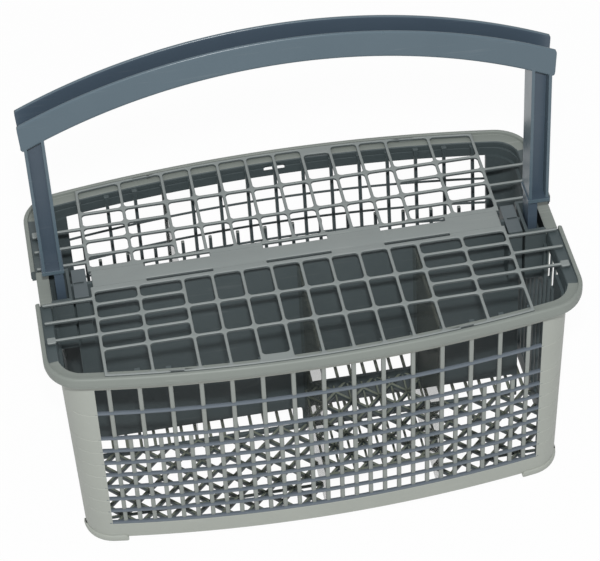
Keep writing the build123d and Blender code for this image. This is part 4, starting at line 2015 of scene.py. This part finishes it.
    def spine(self) -> None:
        """Make the strip between the flaps, with the skirts that grip the centre wall."""
        half = SPINE_HIGH.x
        seam = self.hinge_y - self.seam
        rear = self.hinge_line(seam + self.trim, seam - self.rear_slot, half)
        front = self.hinge_line(seam + self.trim, seam - self.front_slot, half)
        front = [(-x, -y, soft) for x, y, soft in front]
        mesh = flat_sheet("spine", rounded(front + rear), [], self.thickness, self.edge)
        for side in ENDS:
            cut_flat(mesh, (0.0, side * seam, 0.0), (0.0, float(side), 0.0))
        self.finish("spine_strip", mesh, SPINE_ROLE)
        skirts = Moulding()
        for side in ENDS:
            ys = sorted((side * self.skirt_gap, side * (self.skirt_gap + self.skirt)))
            low = (-half, ys[0], COVER_BOTTOM - self.skirt_depth)
            skirts.box(low, (half, ys[1], COVER_BOTTOM + self.skirt_lap))
        mesh = skirts.mesh("spine_skirts")
        # The skirts are wholly painted shade
        settle("spine_skirts", mesh, SPINE_ROLE, (Tone.INSIDE,), self.skirt_round)

    def build(self) -> None:
        """Make the spine and both flaps."""
        self.spine()
        for side in Side:
            self.flap(side)


# Handle


@dataclass
class CarryHandle:
    """The carrying handle: an arched channel, open upwards, on two arms with tongues."""

    sockets: HandleSockets
    width: float = 12.6
    radius: float = 270.0
    bar_height: float = 13.2
    sheet: float = 1.5
    sheet_round: float = 0.7
    base_round: float = 1.3
    hollow_round: float = 0.8
    channel_floor: float = 2.4
    arch_steps: int = 60
    sheet_step: float = 0.9
    end_clear: float = 1.0
    end_slant: float = 0.05
    end_round: float = 2.4
    top_round: float = 1.0
    arm_outer: float = 114.5
    arm_width: float = 9.0
    flange: float = 1.4
    web: float = 2.0
    foot_lift: float = 10.8
    foot_height: float = 3.2
    foot_lap: float = 0.5
    flare: float = 0.45
    toe_in: float = 1.0
    toe_turn: float = 0.2
    toe_rise: float = 0.4
    toe_height: float = 1.3
    tongue_x: float = 107.7
    tongue: float = 4.2
    tongue_width: float = 10.0
    barb: float = 5.7
    barb_height: float = 9.0
    barb_lift: float = 0.05
    fit_gap: float = 0.25
    bevel: float = 0.35
    hollow_start: float = 0.4
    hollow_margin: float = 0.3

    def arch_z(self, x: float, depth: float) -> float:
        """Height of the arch at a place along it, at a depth below its top edge."""
        return HANDLE_HIGH.z - self.radius + sqrt((self.radius - depth) ** 2 - x**2)

    def end_x(self, depth: float) -> float:
        """Where the slanted, round-cornered end of the channel lies.

        Args:
            depth: Depth below the channel's top edge.

        Returns:
            Its distance from the middle.
        """
        slanted = HANDLE_HIGH.x - self.end_slant * depth
        for start, sign in ((self.top_round, -1), (self.bar_height - self.end_round, 1)):
            radius = self.top_round if sign < 0 else self.end_round
            past = sign * (depth - start)
            if past > 0:
                slanted -= radius - sqrt(max(radius**2 - past**2, 0.0))
        return slanted

    def channel_profile(self) -> list[Flat]:
        """The channel's section, with steps down each sheet.

        Returns:
            Y and depth below the top edge of each point.
        """
        half = self.width / 2
        inner = half - self.sheet
        deep = self.bar_height
        base = deep - self.channel_floor
        corners = [
            (-half, 0.0, self.sheet_round),
            (-half, deep, self.base_round),
            (half, deep, self.base_round),
            (half, 0.0, self.sheet_round),
            (inner, 0.0, self.sheet_round),
            (inner, base, self.hollow_round),
            (-inner, base, self.hollow_round),
            (-inner, 0.0, self.sheet_round),
        ]
        outline = rounded(corners)
        points = []
        for start, stop in zip(outline, outline[1:] + outline[:1]):
            length = hypot(stop[0] - start[0], stop[1] - start[1])
            parts = max(1, int(length / self.sheet_step))
            for part in range(parts):
                share = part / parts
                points.append(tuple(a + (b - a) * share for a, b in zip(start, stop)))
        return points

    def channel(self, moulding: Moulding) -> None:
        """Sweep the channel along the arch, with slanted ends and round lower corners.

        Args:
            moulding: What the channel is added to.
        """
        steps = self.arch_steps
        profile = self.channel_profile()
        safe = self.end_x(self.bar_height) - self.end_clear
        places = [safe * (2 * i / steps - 1) for i in range(steps + 1)]
        rings = [[(x, y, self.arch_z(x, depth)) for y, depth in profile] for x in places]
        caps = {}
        for end in ENDS:
            reach = [end * self.end_x(depth) for _, depth in profile]
            caps[end] = [(x, y, self.arch_z(x, depth)) for x, (y, depth) in zip(reach, profile)]
        moulding.loft([caps[-1]] + rings + [caps[1]])

    def arm(self, moulding: Moulding, end: int) -> None:
        """One upright arm: two flanges on a web, up into the channel's floor.

        Args:
            moulding: What the arm is added to.
            end: 1 for the right end and -1 for the left.
        """
        half = self.width / 2
        web = self.web / 2
        x0 = self.arm_outer - self.arm_width
        x1 = x0 + self.flange
        x2 = self.arm_outer - self.flange
        x3 = self.arm_outer
        plan = [
            (x0, -half), (x1, -half), (x1, -web), (x2, -web), (x2, -half), (x3, -half),
            (x3, half), (x2, half), (x2, web), (x1, web), (x1, half), (x0, half),
        ]
        deep = self.bar_height - self.channel_floor / 2
        foot = RIM_TOP + self.foot_lift
        low = ring_at(plan, foot + self.foot_lap, end)
        high = [(end * x, y, self.arch_z(x, deep)) for x, y in plan]
        moulding.loft([low, high])

    def foot(self, moulding: Moulding, end: int) -> None:
        """The flared foot of an arm, its tongue and its barb.

        Args:
            moulding: What they are added to.
            end: 1 for the right end and -1 for the left.
        """
        foot = RIM_TOP + self.foot_lift
        half = self.width / 2
        x0 = self.arm_outer - self.arm_width
        levels = (
            (0.0, -self.toe_in),
            (self.toe_rise, -self.toe_turn),
            (self.toe_height, self.flare),
            (self.foot_height, self.flare),
        )
        rings = []
        for rise, out in levels:
            plan = quad((x0 - out, -half - out), (self.arm_outer + out, half + out))
            rings.append(ring_at(plan, foot + rise, end))
        moulding.loft(rings)
        middle = end * self.tongue_x
        seat = self.sockets.low + self.sockets.pocket_floor
        thin = self.tongue / 2
        wide = self.tongue_width / 2
        moulding.box((middle - thin, -wide, seat), (middle + thin, wide, foot + self.foot_lap))
        thin = self.barb / 2
        wide = SOCKET_HALF - self.sockets.wall - self.fit_gap
        top = seat + self.barb_height
        moulding.box((middle - thin, -wide, seat + self.barb_lift), (middle + thin, wide, top))

    def shade_hollow(self, mesh: bpy.types.Mesh) -> None:
        """Paint shade on the channel's inside, the arms' webs and the tongues.

        Args:
            mesh: The handle, in metres.
        """
        inner = self.width / 2 - self.sheet - NEAR + self.hollow_margin
        base = self.bar_height - self.channel_floor + self.hollow_margin
        web = self.web / 2 + NEAR
        arm_low = self.arm_outer - self.arm_width + self.flange - NEAR
        arm_high = self.arm_outer - self.flange + NEAR
        for face in mesh.polygons:
            x, y, z = face.center * MM
            depth = self.arch_z(x, 0.0) - z
            in_channel = self.hollow_start < depth < base and abs(y) <= inner
            inward = face.normal.dot(Vector((0.0, y, -1.0))) < 0.0
            in_web = arm_low < abs(x) < arm_high and abs(y) <= web
            below = z < RIM_TOP + self.foot_lift
            if in_channel and inward or in_web or below:
                face.material_index = 1

    def build(self) -> None:
        """Make the whole handle."""
        moulding = Moulding()
        self.channel(moulding)
        for end in ENDS:
            self.arm(moulding, end)
            self.foot(moulding, end)
        # Own colour outside, painted shade in the hollow
        tones = (Tone.HANDLE, Tone.SHADED_HOLLOW)
        piece = settle("carry_handle", moulding.mesh("carry_handle"), HANDLE_ROLE, tones, self.bevel)
        self.shade_hollow(piece.data)


# Studio


@dataclass
class Studio:
    """Camera, soft light, pale floor and white surroundings.

    Attributes:
        eye: Place of the camera.
        lens: Focal length on a sensor 36 mm wide.
        heading: Turn of the view from +Y towards +X, in degrees.
        pitch: Tilt of the view below the horizon, in degrees.
        roll: Turn of the picture, in degrees.
        ambient: Strength of the even light.
        key_power: Power of the front light, in watts.
        key_lift: How far the front light stands above the camera.
        floor_half: Half the floor's width, in metres.
        floor_glow: How much of the floor that is seen is plain white, from 0 to 1.
    """

    eye: Point = (-109.3, -823.7, 863.4)
    lens: float = 148.4
    sensor: float = 36.0
    far: float = 20.0
    heading: float = 7.59
    pitch: float = 42.64
    roll: float = 3.42
    white: tuple[float, ...] = (1.0, 1.0, 1.0, 1.0)
    ambient: float = 0.4
    ambient_colour: tuple[float, ...] = (0.97, 0.985, 1.0, 1.0)
    key_power: float = 8.6
    key_size: float = 45.0
    key_lift: float = 90.0
    floor_half: float = 3.0
    floor_glow: float = 0.97
    floor_colour: tuple[float, ...] = (0.8, 0.8, 0.8, 1.0)

    def camera(self) -> None:
        """Put the camera where the view is taken from."""
        heading, pitch, roll = (radians(a) for a in (self.heading, self.pitch, self.roll))
        forward = Vector((sin(heading) * cos(pitch), cos(heading) * cos(pitch), -sin(pitch)))
        level = Vector((cos(heading), -sin(heading), 0.0))
        upright = level.cross(forward)
        right = cos(roll) * level - sin(roll) * upright
        up = sin(roll) * level + cos(roll) * upright
        data = bpy.data.cameras.new("camera")
        data.lens = self.lens
        data.sensor_width = self.sensor
        data.clip_end = self.far
        camera = show("camera", data)
        turned = Matrix((right, up, -forward)).transposed().to_4x4()
        camera.matrix_world = Matrix.Translation(Vector(self.eye) / MM) @ turned
        bpy.context.scene.camera = camera
        self.front_light(Matrix.Translation((Vector(self.eye) + self.key_lift * up) / MM) @ turned)

    def shown(self, tree: bpy.types.NodeTree) -> bpy.types.NodeSocket:
        """A mask of the rays that see the white: from the camera, off gloss and through clear plastic.

        Args:
            tree: The tree that it goes into.

        Returns:
            The mask's socket.
        """
        paths = add_node(tree, "ShaderNodeLightPath", {})
        mask = paths["Is Camera Ray"]
        for label in ("Is Glossy Ray", "Is Transmission Ray"):
            mask = add_node(tree, "ShaderNodeMath", {0: mask, 1: paths[label]}, operation="MAXIMUM")[0]
        return mask

    def world(self) -> None:
        """White to look at, and a soft even light."""
        world = bpy.data.worlds.new("studio")
        bpy.context.scene.world = world
        world.use_nodes = True
        tree = world.node_tree
        tree.nodes.clear()
        seen = add_node(tree, "ShaderNodeBackground", {"Color": self.white})[0]
        feeds = {"Color": self.ambient_colour, "Strength": self.ambient}
        light = add_node(tree, "ShaderNodeBackground", feeds)[0]
        mix = add_node(tree, "ShaderNodeMixShader", {0: self.shown(tree), 1: light, 2: seen})[0]
        add_node(tree, "ShaderNodeOutputWorld", {"Surface": mix})

    def front_light(self, place: Matrix) -> None:
        """Add the soft front light, close above the place that the view is taken from.

        Args:
            place: Where it stands and which way it shines.
        """
        data = bpy.data.lights.new("front_light", "AREA")
        data.shape = "DISK"
        data.size = self.key_size / MM
        data.energy = self.key_power
        show("front_light", data).matrix_world = place

    def floor(self) -> None:
        """A plain pale floor that shows nearly white and keeps the object's shadow."""
        half = self.floor_half
        corners = ring_at(quad((-half, -half), (half, half)), 0.0)
        mesh = bpy.data.meshes.new("floor")
        mesh.from_pydata(corners, [], [range(len(corners))])
        floor = show("floor", mesh)
        material = bpy.data.materials.new("pale_floor")
        material.use_nodes = True
        tree = material.node_tree
        tree.nodes.clear()
        matt = add_node(tree, "ShaderNodeBsdfDiffuse", {"Color": self.floor_colour})[0]
        glow = add_node(tree, "ShaderNodeEmission", {"Color": self.white})[0]
        feeds = {0: self.shown(tree), 1: self.floor_glow}
        share = add_node(tree, "ShaderNodeMath", feeds, operation="MULTIPLY")[0]
        mix = add_node(tree, "ShaderNodeMixShader", {0: share, 1: matt, 2: glow})[0]
        add_node(tree, "ShaderNodeOutputMaterial", {"Surface": mix})
        mesh.materials.append(material)

    def build(self) -> None:
        """Set the whole studio up."""
        bpy.context.scene.view_settings.view_transform = "Standard"
        self.camera()
        self.world()
        self.floor()


def main() -> None:
    """Build the basket, its cover and its handle, then the studio."""
    logging.basicConfig(level=logging.INFO, format="%(name)s %(message)s")
    plan = BasketPlan()
    lattice = WallLattice(plan)
    sockets = HandleSockets(plan)
    BasketRim(plan).build()
    BasketWalls(plan).build()
    lattice.build()
    BasketFloor(plan, lattice.ribs).build()
    InnerWalls(plan).build()
    sockets.build()
    CoverGrid(plan).build()
    CarryHandle(sockets).build()
    Studio().build()


if __name__ == "__main__":
    main()
